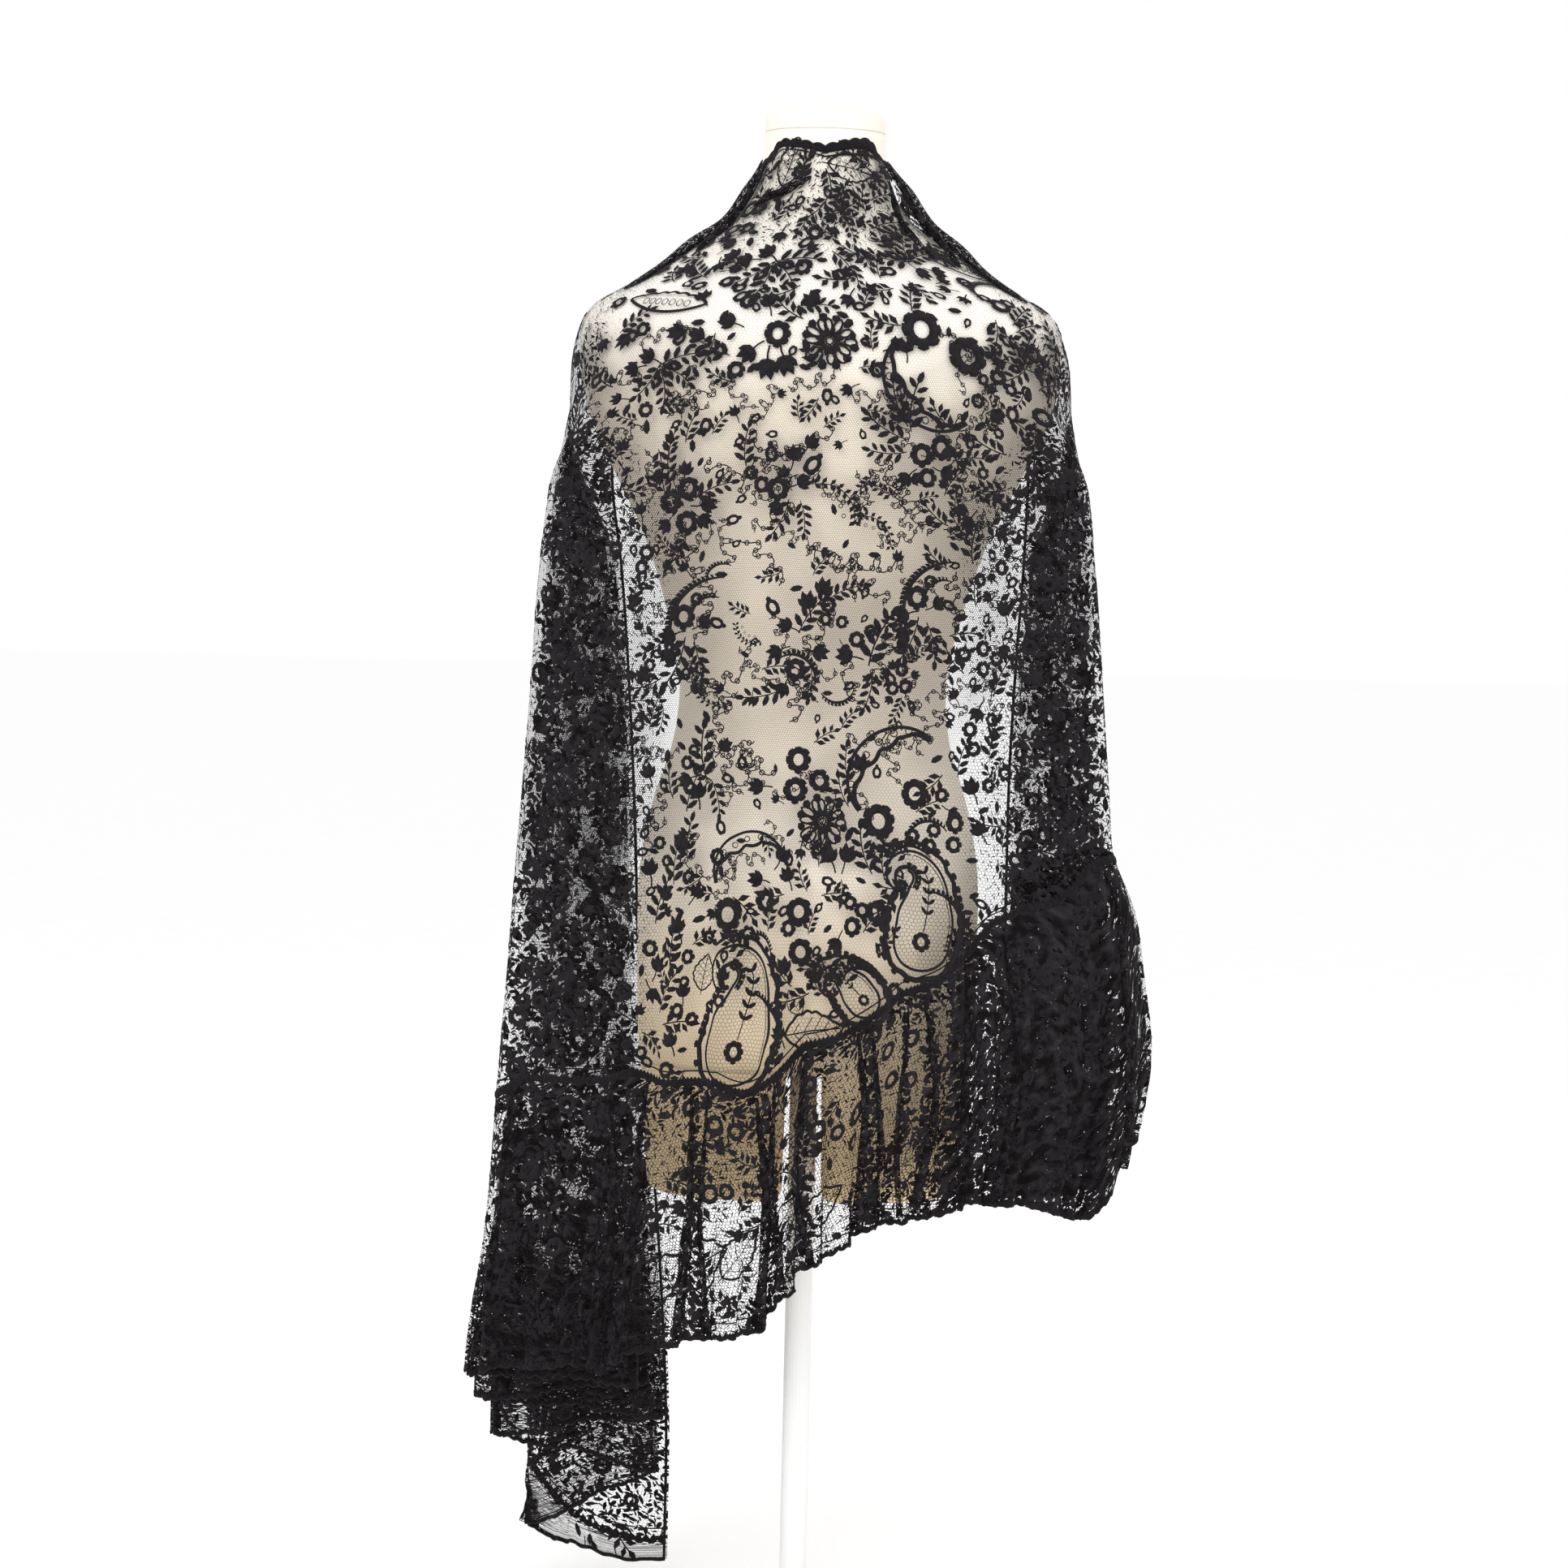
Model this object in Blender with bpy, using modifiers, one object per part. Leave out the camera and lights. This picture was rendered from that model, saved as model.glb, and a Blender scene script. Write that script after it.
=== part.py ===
"""A black lace mantilla worn on a limbless dress form, with the form's stand. Metres, +Z up.

The back of the form faces -Y. The lace goes round the neck, lies on the back and the shoulders, and
falls from the shoulder tips in deep folds that run round to two free edges at the front. A gathered
flounce is sewn below its scalloped edge. Every cloth wall is a grid over two numbers: s, which runs
from the centre of the back (0) to the free front edge (1) on either side, and the height z. The lace
is one length of cloth, built as one solid for each stretch of it: back, sides and fronts.
"""

import math

import bmesh
import bpy
import numpy as np

# Sizes of the stand and the form
BASE_RADIUS = 0.170
BASE_THICK = 0.008
HUB_RADIUS = 0.020
HUB_HEIGHT = 0.020
POLE_RADIUS = 0.011
FLANGE_RADIUS = 0.0135
FLANGE_THICK = 0.006
GAP = 0.0003
FRONT_GAP = 0.0006
FORM_BOTTOM = 0.364
NECK_TOP = 1.222
NECK_CAP_RISE = 0.0195
THIGH_GAP_TOP = 0.470
THIGH_GAP_WIDE = 0.032
THIGH_GAP_NARROW = 0.029
FORM_COLUMNS = 40

# Sizes of the cloth
WALL = 0.0012
NECK_CLEARANCE = 0.00105
SHOULDER_CLEARANCE = 0.0026
BACK_SHARE = 0.20
BACK_WIDTH_SHARE = 0.667
FOLDS_START = 1.070
FOLDS_FULL = 0.930
FOLD_DEPTH_START = 1.020
FOLD_DEPTH_FULL = 0.870
APEX_EASE = 0.127
BACK_COLUMNS = 10
LEG_COLUMNS = 6
FLOUNCE_PER_COLUMN = 2
FLOUNCE_ROWS = 5
SEAM_DROP = 0.0006
BACK_WAVES = 4.0
LEG_HALF_WAVES = 4
BACK_WAVE_DEPTH = 0.0125
LEG_WAVE_DEPTH = 0.0070
PANEL_WAVE_DEPTH = 0.0050
PANEL_WAVES_START = 0.820
PANEL_WAVES_FULL = 0.520
WAVE_PHASE = 0.6
GATHER_SPREAD = 0.6
FIRST_FOLD = (0.32, 0.55)
NECK_SCALLOP = 0.42
NECK_SCALLOP_RISE = 0.0045
SCALLOP_RISE = 0.007
SCALLOPS_PER_LEG = 1.5
HEM_SCALLOP_RISE = 0.004
HEM_SCALLOPS_PER_LEG = 2.5

# One row for each level of the form, from the neck down: height, half width, depth to the back,
# depth to the front, and the power of its superellipse.
FORM_LEVELS = [
    (1.2220, 0.0485, 0.0525, 0.0525, 2.0),
    (1.2000, 0.0490, 0.0530, 0.0530, 2.0),
    (1.1780, 0.0550, 0.0580, 0.0565, 2.0),
    (1.1480, 0.0760, 0.0680, 0.0640, 2.0),
    (1.1270, 0.1070, 0.0770, 0.0700, 2.1),
    (1.1030, 0.1430, 0.0850, 0.0775, 2.2),
    (1.0820, 0.1800, 0.0920, 0.0860, 2.3),
    (1.0550, 0.1945, 0.0990, 0.0950, 2.4),
    (1.0000, 0.1880, 0.1090, 0.1150, 2.3),
    (0.9500, 0.1660, 0.1080, 0.1200, 2.2),
    (0.8950, 0.1390, 0.0980, 0.1080, 2.2),
    (0.8400, 0.1210, 0.0860, 0.0920, 2.2),
    (0.7750, 0.1080, 0.0790, 0.0830, 2.2),
    (0.7330, 0.1120, 0.0830, 0.0830, 2.2),
    (0.6800, 0.1280, 0.0950, 0.0860, 2.2),
    (0.6300, 0.1370, 0.1040, 0.0890, 2.3),
    (0.5500, 0.1380, 0.1040, 0.0900, 2.3),
    (0.4500, 0.1330, 0.0920, 0.0860, 2.3),
    (0.3640, 0.1265, 0.0800, 0.0790, 2.3),
]
# Heights of the form's rings between those levels, finer where the neck flares.
FORM_RINGS = [
    1.222, 1.211, 1.200, 1.189, 1.178, 1.163, 1.148, 1.138, 1.127, 1.115, 1.103, 1.082, 1.055,
    1.028, 1.000, 0.950, 0.895, 0.840, 0.775, 0.733, 0.680, 0.630, 0.550, 0.450, 0.364,
]  # fmt: skip

# One row for each level where the cloth hangs free below the shoulders: height, half width on the
# left and on the right, depth to the back and depth to the front.
HANG_LEVELS = [
    (1.0000, 0.2030, 0.2055, 0.1150, 0.1240),
    (0.9500, 0.2110, 0.2145, 0.1185, 0.1310),
    (0.8700, 0.2200, 0.2235, 0.1190, 0.1340),
    (0.7600, 0.2262, 0.2335, 0.1180, 0.1350),
    (0.6440, 0.2337, 0.2425, 0.1175, 0.1360),
    (0.5400, 0.2400, 0.2450, 0.1180, 0.1370),
    (0.4400, 0.2468, 0.2490, 0.1190, 0.1380),
    (0.3400, 0.2534, 0.2522, 0.1205, 0.1390),
    (0.2200, 0.2670, 0.2520, 0.1230, 0.1400),
    (0.0300, 0.2600, 0.2500, 0.1250, 0.1350),
]

# The free front edge, from the neck down over the shoulder: height, how far it stands from the
# middle on the left and on the right.
FREE_EDGE = [
    (1.1460, 0.0440, 0.0440),
    (1.1000, 0.0820, 0.0820),
    (1.0550, 0.1200, 0.1200),
    (1.0000, 0.1520, 0.1520),
    (0.9500, 0.1720, 0.1760),
    (0.8700, 0.1625, 0.1740),
    (0.8000, 0.1560, 0.1700),
    (0.6700, 0.1470, 0.1660),
    (0.5500, 0.1410, 0.1660),
    (0.4400, 0.1320, 0.1630),
    (0.3000, 0.1180, 0.1600),
    (0.1500, 0.1080, 0.1550),
    (0.0300, 0.1070, 0.1550),
]

# The side folds from back to front: how far each turn lies from the outline, as a share of the
# way in to the free edge, and where it lies between the back (0) and the front (1).
FOLD_TURNS = [
    ("turn out 1", 0.00, 0.130),
    ("turn in 1", 0.93, 0.255),
    ("turn out 2", 0.04, 0.385),
    ("turn in 2", 1.00, 0.505),
    ("turn out 3", 0.09, 0.630),
    ("turn in 3", 0.94, 0.745),
    ("turn out 4", 0.24, 0.880),
]
LEGS = len(FOLD_TURNS) + 1
# The side stretch of each fall takes this many legs, and the front stretch the rest.
SIDE_LEGS = 4.5
FRONT_START = BACK_SHARE + (1 - BACK_SHARE) * SIDE_LEGS / LEGS

# The lower edge of the lace field and the depth of the flounce below it, from the centre of the
# back to the front edge: s, edge height, flounce depth.
LEFT_EDGE = [
    (0.00, 0.493, 0.176),
    (0.02, 0.480, 0.188),
    (0.035, 0.470, 0.198),
    (0.06, 0.459, 0.194),
    (0.12, 0.468, 0.212),
    (0.20, 0.466, 0.232),
    (0.30, 0.450, 0.228),
    (0.40, 0.432, 0.222),
    (0.50, 0.406, 0.216),
    (0.60, 0.368, 0.196),
    (0.70, 0.308, 0.160),
    (0.80, 0.222, 0.108),
    (0.88, 0.132, 0.060),
    (0.94, 0.078, 0.034),
    (1.00, 0.040, 0.014),
]
RIGHT_EDGE = [
    (0.00, 0.493, 0.176),
    (0.03, 0.508, 0.174),
    (0.06, 0.524, 0.172),
    (0.12, 0.556, 0.192),
    (0.16, 0.588, 0.214),
    (0.20, 0.612, 0.242),
    (0.25, 0.636, 0.276),
    (0.30, 0.650, 0.232),
    (0.40, 0.642, 0.262),
    (0.50, 0.634, 0.258),
    (0.60, 0.622, 0.250),
    (0.70, 0.606, 0.236),
    (0.80, 0.590, 0.228),
    (0.90, 0.574, 0.220),
    (1.00, 0.560, 0.214),
]
# Where a fold stands out beyond the outline: height, on the left, on the right. Round the neck it
# runs along the whole side, and below the shoulders only along the first fold.
STAND_OUT = [
    (1.2050, 0.0000, 0.0000),
    (1.1700, 0.0020, 0.0095),
    (1.1450, 0.0020, 0.0090),
    (1.1200, 0.0000, 0.0020),
    (1.0950, 0.0000, 0.0000),
    (0.6600, 0.0000, 0.0000),
    (0.6000, 0.0000, 0.0190),
    (0.5500, 0.0000, 0.0260),
    (0.5000, 0.0000, 0.0310),
    (0.4500, 0.0000, 0.0250),
    (0.3800, 0.0000, 0.0080),
    (0.3000, 0.0000, 0.0000),
]
# The upper edge round the neck: s, height.
NECK_EDGE = [(0.00, 1.208), (0.20, 1.209), (0.36, 1.204), (0.56, 1.192), (0.80, 1.170), (1.00, 1.146)]

YOKE_BOTTOM = 1.127
HANG_TOP = 1.000
YOKE_SHARES = [1.0, 0.80, 0.55, 0.25]
SHOULDER_ROWS = [1.127, 1.103, 1.082, 1.055, 1.000]
HANG_SHARES = [0.10, 0.24, 0.42, 0.62, 0.82, 1.0]

LACE = ("black lace", (0.012, 0.011, 0.014, 1.0), 0.75, 0.0)
FORM_SKIN = ("ivory form", (0.86, 0.79, 0.68, 1.0), 0.6, 0.0)
WHITE_STEEL = ("white painted steel", (0.85, 0.85, 0.84, 1.0), 0.35, 0.0)


def smooth_column(at, stations, values):
    """A smooth curve through a table's column: cubic Hermite with each slope from its neighbours."""
    order = np.argsort(stations)
    x = np.asarray(stations, float)[order]
    v = np.asarray(values, float)[order]
    rise = np.diff(v) / np.diff(x)
    slope = np.concatenate([[rise[0]], (rise[:-1] + rise[1:]) / 2, [rise[-1]]])
    flat = np.concatenate([[False], rise[:-1] * rise[1:] <= 0, [False]])
    slope[flat] = 0.0
    at = np.clip(np.asarray(at, float), x[0], x[-1])
    i = np.clip(np.searchsorted(x, at) - 1, 0, len(x) - 2)
    step = x[i + 1] - x[i]
    t = (at - x[i]) / step
    return (
        v[i] * (1 + 2 * t) * (1 - t) ** 2
        + v[i + 1] * t * t * (3 - 2 * t)
        + step * (slope[i] * t * (1 - t) ** 2 - slope[i + 1] * t * t * (1 - t))
    )


def column(table, index, at):
    """The table's column, smoothly between its rows."""
    return smooth_column(at, [row[0] for row in table], [row[index] for row in table])


def ease(low, high, at):
    """0 at low, 1 at high, level at both ends."""
    t = np.clip((at - low) / (high - low), 0.0, 1.0)
    return t * t * (3 - 2 * t)


def cloth_levels():
    """The cloth's own levels: the form plus a clearance down to the shoulders, then the free hang."""
    rows = []
    for z, half_width, back, front, _ in FORM_LEVELS:
        if z > HANG_TOP:
            clear = NECK_CLEARANCE if z > 1.19 else SHOULDER_CLEARANCE
            rows.append((z, half_width + clear, half_width + clear, back + clear, front + clear))
    return rows + HANG_LEVELS


CLOTH_LEVELS = cloth_levels()


def take_row(table, index):
    """From a table of arrays, the value that each point's own index picks."""
    return np.take_along_axis(table, index[None, ...], axis=0)[0]


def base_line(s, sizes, power, free_x):
    """The cloth's line with no folds: a superellipse round the form from the back to the free edge."""
    half_width, back, front = sizes
    side_share = np.clip((s - BACK_SHARE) / (1 - BACK_SHARE), 0.0, 1.0)
    angle_start = np.arcsin(BACK_WIDTH_SHARE ** (power / 2))
    angle_end = math.pi - np.arcsin((free_x / half_width) ** (power / 2))
    angle = angle_start + (angle_end - angle_start) * side_share
    on_back = s <= BACK_SHARE
    x_share = np.where(on_back, BACK_WIDTH_SHARE * s / BACK_SHARE, np.abs(np.sin(angle)) ** (2 / power))
    y_share = np.where(
        on_back,
        (1 - np.clip(x_share, 0, 1) ** power) ** (1 / power),
        np.abs(np.cos(angle)) ** (2 / power),
    )
    behind = on_back | (angle < math.pi / 2)
    return half_width * x_share, np.where(behind, -back * y_share, front * y_share)


def folded_line(s, z, sizes, power, free_x):
    """The cloth's line through the turns of FOLD_TURNS: each leg eases out of one and into the next."""
    half_width, back, front = sizes
    depth = (half_width - free_x) * (1 - ease(FOLD_DEPTH_FULL, FOLD_DEPTH_START, z))
    side_share = np.clip((s - BACK_SHARE) / (1 - BACK_SHARE), 0.0, 1.0)
    back_y = (1 - BACK_WIDTH_SHARE**power) ** (1 / power)
    start_y = -back * back_y
    start_slope = back / half_width * (BACK_WIDTH_SHARE / back_y) ** (power - 1)
    turn_x = [half_width * BACK_WIDTH_SHARE]
    turn_y = [start_y]
    for _, inward, forward in FOLD_TURNS:
        turn_x.append(half_width - depth * inward)
        turn_y.append(start_y + (front - start_y) * forward)
    turn_x = np.array(turn_x + [free_x])
    turn_y = np.array(turn_y + [front])
    leg = np.clip(np.floor(side_share * LEGS).astype(int), 0, LEGS - 1)
    along = side_share * LEGS - leg
    first, last = leg == 0, leg == LEGS - 1
    x0, x1 = take_row(turn_x, leg), take_row(turn_x, leg + 1)
    y0, y1 = take_row(turn_y, leg), take_row(turn_y, leg + 1)
    quarter = along * math.pi / 2
    x_ease = (1 - np.cos(np.pi * along)) / 2
    y_ease = along + APEX_EASE * np.sin(2 * np.pi * along)
    x_ease = np.where(first, np.sin(quarter), np.where(last, 1 - np.cos(quarter), x_ease))
    y_ease = np.where(first, 1 - np.cos(quarter), np.where(last, np.sin(quarter), y_ease))
    x = x0 + (x1 - x0) * x_ease
    y = y0 + (y1 - y0) * y_ease + np.where(first, start_slope * (x - x0) * (1 - along) ** 2, 0.0)
    return x, y


def back_waves(s, side):
    """Even waves along the back, which run on over its middle."""
    return np.cos(2 * np.pi * side * s * BACK_WAVES / BACK_SHARE + WAVE_PHASE)


def cloth_point(s, z, side):
    """A point on the middle of the cloth wall. side is -1 on the left and 1 on the right.

    Round the neck and the shoulders it follows the base line. Below them, past BACK_SHARE, the
    folded line takes over little by little.
    """
    s, z = np.broadcast_arrays(np.asarray(s, float), np.asarray(z, float))
    own = 2 if side > 0 else 1
    reach = np.where(z > HANG_TOP, 1.0, 1 - ease(*FIRST_FOLD, s))
    half_width = column(CLOTH_LEVELS, own, z) + column(STAND_OUT, own, z) * reach
    sizes = (half_width, column(CLOTH_LEVELS, 3, z), column(CLOTH_LEVELS, 4, z))
    power = column(FORM_LEVELS, 4, z)
    free_x = column(FREE_EDGE, own, z)
    base_x, base_y = base_line(s, sizes, power, free_x)
    fold_x, fold_y = folded_line(s, z, sizes, power, free_x)
    folded = np.where(s <= BACK_SHARE, 0.0, 1 - ease(FOLDS_FULL, FOLDS_START, z))
    x = base_x + (fold_x - base_x) * folded
    y = base_y + (fold_y - base_y) * folded
    near_back = 1 - ease(BACK_SHARE * 0.7, BACK_SHARE * 1.2, s)
    low = 1 - ease(PANEL_WAVES_FULL, PANEL_WAVES_START, z)
    y = y + PANEL_WAVE_DEPTH * low * near_back * back_waves(s, side)
    return np.stack([side * x, y, z], axis=-1)


def outward(s, z, side):
    """The horizontal direction square to the cloth, away from the form on the back."""
    nudge = 1e-4
    along = cloth_point(s + nudge, z, side) - cloth_point(s - nudge, z, side)
    across = np.stack([along[..., 1], -along[..., 0], np.zeros_like(along[..., 0])], axis=-1)
    across /= np.maximum(np.linalg.norm(across, axis=-1, keepdims=True), 1e-9)
    return across * side


def edge_column(index, s, side):
    """A column of the lower edge's table. It changes along a fold's leg and stays level at its turns."""
    step = (1 - BACK_SHARE) / LEGS
    leg = np.floor(np.clip(s - BACK_SHARE, 0.0, None) / step)
    along = (s - BACK_SHARE) / step - leg
    stepped = BACK_SHARE + step * (leg + along * along * (3 - 2 * along))
    return column(RIGHT_EDGE if side > 0 else LEFT_EDGE, index, np.where(s > BACK_SHARE, stepped, s))


def scallops(s):
    """Round scallops along an edge: 0 at the points between them and 1 at the middle of each."""
    return np.abs(np.sin(np.pi * s * LEGS * SCALLOPS_PER_LEG))


def field_edge(s, side):
    """Height of the field's scalloped lower edge."""
    return edge_column(1, s, side) - SCALLOP_RISE * scallops(s)


def neck_edge(s):
    """Height of the scalloped upper edge round the neck."""
    return column(NECK_EDGE, 1, s) + NECK_SCALLOP_RISE * np.abs(np.sin(np.pi * s / NECK_SCALLOP))


def open_seam(s, z, side):
    """s for each point, with a column where two stretches of cloth meet set half a gap back."""
    s = np.broadcast_to(s, z.shape).copy()
    nudge = 1e-4
    for edge, way in ((0, 1), (-1, -1)):
        for seam, gap in ((BACK_SHARE, GAP), (FRONT_START, FRONT_GAP)):
            if abs(s[0, edge] - seam) < 1e-9:
                here = cloth_point(s[:, edge], z[:, edge], side)
                beside = cloth_point(s[:, edge] + nudge * way, z[:, edge], side)
                speed = np.linalg.norm(beside - here, axis=-1) / nudge
                s[:, edge] += way * gap / 2 / speed
    return s


def field_grid(columns, side):
    """Points of the lace field, one row for each height, from the neck edge down."""
    s = np.asarray(columns, float)
    neck = neck_edge(s)
    low = field_edge(s, side)
    rows = [YOKE_BOTTOM + (neck - YOKE_BOTTOM) * share for share in YOKE_SHARES]
    rows += [np.full_like(s, height) for height in SHOULDER_ROWS]
    rows += [HANG_TOP - (HANG_TOP - low) * share for share in HANG_SHARES]
    z = np.array(rows)
    return cloth_point(open_seam(s, z, side), z, side)


def leg_wave(s, side):
    """The flounce's gathers: waves along the back, and waves that die out at each turn of a fold."""
    side_share = np.clip((s - BACK_SHARE) / (1 - BACK_SHARE), 0.0, 1.0)
    along = side_share * LEGS - np.clip(np.floor(side_share * LEGS), 0, LEGS - 1)
    on_leg = LEG_WAVE_DEPTH * np.sin(np.pi * LEG_HALF_WAVES * along) * np.sin(np.pi * along)
    near_end = 1 - ease(BACK_SHARE * 0.85, BACK_SHARE, s)
    on_back = BACK_WAVE_DEPTH * back_waves(s, side) * near_end
    return np.where(s <= BACK_SHARE, on_back, on_leg)


def finer(values):
    """A row of values at the flounce's finer columns."""
    count = len(values)
    at = np.linspace(0, count - 1, (count - 1) * FLOUNCE_PER_COLUMN + 1)
    return np.interp(at, np.arange(count), values)


def seam_row(columns, side):
    """The field's lower edge at the flounce's columns, lowered by the seam's gap."""
    edge = field_grid(columns, side)[-1]
    row = np.stack([finer(edge[:, axis]) for axis in range(3)], axis=-1)
    row[:, 2] -= SEAM_DROP
    return row


def flounce_grid(columns, side):
    """Points of the flounce, which hangs from just below the field's edge and opens into waves."""
    seam = seam_row(columns, side)
    s = finer(np.asarray(columns, float))
    hem_scallop = HEM_SCALLOP_RISE * np.abs(np.sin(np.pi * s * LEGS * HEM_SCALLOPS_PER_LEG))
    hem = edge_column(1, s, side) - edge_column(2, s, side) - hem_scallop
    down = np.linspace(0.0, 1.0, FLOUNCE_ROWS)[:, None]
    z = seam[:, 2] + (hem - seam[:, 2]) * down
    s = open_seam(s, z, side)
    push = leg_wave(s, side) * down**GATHER_SPREAD
    points = cloth_point(s, z, side) + outward(s, z, side) * push[..., None]
    points[0] = seam
    return points


def material(name, colour, roughness, metallic):
    found = bpy.data.materials.get(name)
    if found:
        return found
    made = bpy.data.materials.new(name)
    made.use_nodes = True
    shader = made.node_tree.nodes["Principled BSDF"]
    shader.inputs["Base Color"].default_value = colour
    shader.inputs["Roughness"].default_value = roughness
    shader.inputs["Metallic"].default_value = metallic
    return made


def collection(name):
    made = bpy.data.collections.new(name)
    bpy.context.scene.collection.children.link(made)
    return made


def add_object(name, mesh, finish, home):
    """A named object for one piece, with its material."""
    made = bpy.data.objects.new(name, mesh)
    mesh.materials.append(material(*finish))
    home.objects.link(made)
    return made


def grid_mesh(name, points, closed=False):
    """A mesh of quads over a grid of points; closed joins the last column to the first."""
    rows, columns = points.shape[:2]
    wrap = columns if closed else columns - 1
    faces = []
    for row in range(rows - 1):
        upper, lower = row * columns, (row + 1) * columns
        for here in range(wrap):
            after = (here + 1) % columns
            faces.append((upper + here, lower + here, lower + after, upper + after))
    if closed:
        faces.append(tuple(range(columns)))
        faces.append(tuple((rows - 1) * columns + c for c in reversed(range(columns))))
    mesh = bpy.data.meshes.new(name)
    mesh.from_pydata(points.reshape(-1, 3).tolist(), [], faces)
    mesh.update()
    return mesh


def point_outwards(mesh):
    """Turns the faces of a closed mesh to point out of it."""
    work = bmesh.new()
    work.from_mesh(mesh)
    bmesh.ops.recalc_face_normals(work, faces=work.faces)
    work.to_mesh(mesh)
    work.free()


def cloth_wall(name, points, home):
    """A cloth panel: the open grid, thickened evenly to both sides."""
    panel = add_object(name, grid_mesh(name, points), LACE, home)
    wall = panel.modifiers.new("wall", "SOLIDIFY")
    wall.thickness = WALL
    wall.offset = 0.0
    wall.use_even_offset = False
    panel.data.shade_smooth()
    return panel


def turned(name, profile, finish, home, steps=48):
    """A turned piece from its half profile, top to bottom, as (radius, height)."""
    mesh = bpy.data.meshes.new(name)
    mesh.from_pydata([(r, 0.0, z) for r, z in profile], [(i, i + 1) for i in range(len(profile) - 1)], [])
    made = add_object(name, mesh, finish, home)
    screw = made.modifiers.new("turn", "SCREW")
    screw.steps = screw.render_steps = steps
    screw.use_merge_vertices = True
    screw.merge_threshold = 0.0001
    return made


def form_ring(z):
    """One ring of the form as a superellipse, starting at the middle of the back."""
    angle = np.linspace(0, 2 * np.pi, FORM_COLUMNS, endpoint=False)
    half_width, back, front, power = (column(FORM_LEVELS, i, z) for i in (1, 2, 3, 4))
    sine, cosine = np.sin(angle), np.cos(angle)
    x = half_width * np.sign(sine) * np.abs(sine) ** (2 / power)
    reach = np.where(cosine > 0, back, front)
    y = -reach * np.sign(cosine) * np.abs(cosine) ** (2 / power)
    return np.stack([x, y, np.full_like(x, z)], axis=-1)


def thigh_gap_mesh():
    """A cube stretched to the gap between the thigh ends, which is wider at its foot."""
    low = FORM_BOTTOM - 0.02
    work = bmesh.new()
    bmesh.ops.create_cube(work, size=1.0)
    for corner in work.verts:
        x, y, z = corner.co
        width = THIGH_GAP_NARROW if z > 0 else THIGH_GAP_WIDE
        corner.co = (x * width, y * 4 * BASE_RADIUS, THIGH_GAP_TOP if z > 0 else low)
    mesh = bpy.data.meshes.new("thigh_gap")
    work.to_mesh(mesh)
    work.free()
    return mesh


def build_form(home, cutters):
    """The limbless form: a loft of rings, cut between the two short thigh ends."""
    mesh = grid_mesh("form_torso", np.array([form_ring(z) for z in FORM_RINGS]), closed=True)
    point_outwards(mesh)
    torso = add_object("form_torso", mesh, FORM_SKIN, home)
    cutter = bpy.data.objects.new("thigh_gap", thigh_gap_mesh())
    cutters.objects.link(cutter)
    cutter.hide_render = True
    cutter.display_type = "WIRE"
    cut = torso.modifiers.new("thigh gap", "BOOLEAN")
    cut.operation = "DIFFERENCE"
    cut.object = cutter

    cap_low = NECK_TOP + GAP
    neck = form_ring(NECK_TOP)
    shares = [(1.0, 0.0), (1.0, 0.35), (0.93, 0.66), (0.72, 0.88), (0.36, 0.98)]
    rings = [
        neck * (share, share, 0) + (0, 0, cap_low + NECK_CAP_RISE * rise)
        for share, rise in reversed(shares)
    ]
    cap_mesh = grid_mesh("neck_cap", np.array(rings), closed=True)
    point_outwards(cap_mesh)
    add_object("neck_cap", cap_mesh, FORM_SKIN, home)


def build_stand(home):
    """A round base with a hub, a straight pole and the flange that carries the form."""
    flange_top = THIGH_GAP_TOP - GAP
    pole_top = flange_top - FLANGE_THICK - GAP
    bevel = 0.002
    turned(
        "stand_base",
        [
            (0.0, HUB_HEIGHT),
            (HUB_RADIUS - bevel, HUB_HEIGHT),
            (HUB_RADIUS, HUB_HEIGHT - bevel),
            (HUB_RADIUS, BASE_THICK),
            (BASE_RADIUS - bevel, BASE_THICK),
            (BASE_RADIUS, BASE_THICK - bevel),
            (BASE_RADIUS, 0.0),
            (0.0, 0.0),
        ],
        WHITE_STEEL,
        home,
        steps=64,
    )
    turned(
        "stand_pole",
        [(0.0, pole_top), (POLE_RADIUS, pole_top), (POLE_RADIUS, HUB_HEIGHT + GAP), (0.0, HUB_HEIGHT + GAP)],
        WHITE_STEEL,
        home,
        steps=24,
    )
    turned(
        "stand_flange",
        [
            (0.0, flange_top),
            (FLANGE_RADIUS, flange_top),
            (FLANGE_RADIUS, flange_top - FLANGE_THICK),
            (0.0, flange_top - FLANGE_THICK),
        ],
        WHITE_STEEL,
        home,
        steps=24,
    )


def build_mantilla(home):
    """The field over the back and its two falls, each in two stretches, and the flounce below them."""
    back = np.linspace(0.0, BACK_SHARE, BACK_COLUMNS + 1)
    fall = np.linspace(BACK_SHARE, 1.0, LEGS * LEG_COLUMNS + 1)
    split = round(SIDE_LEGS * LEG_COLUMNS)
    stretches = (("side", fall[: split + 1]), ("front", fall[split:]))
    for word, grid in (("field", field_grid), ("flounce", flounce_grid)):
        left, right = grid(back, -1), grid(back, 1)
        whole_back = np.concatenate([left[:, :0:-1], right], axis=1)
        cloth_wall(f"{word}_back", whole_back, home)
        for stretch, columns in stretches:
            cloth_wall(f"{word}_left_{stretch}", grid(columns, -1)[:, ::-1], home)
            cloth_wall(f"{word}_right_{stretch}", grid(columns, 1), home)


def main():
    for old in list(bpy.data.objects):
        bpy.data.objects.remove(old, do_unlink=True)
    home = collection("mantilla_on_form")
    cutters = collection("cutters")
    build_form(home, cutters)
    build_stand(home)
    build_mantilla(home)


main()
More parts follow.
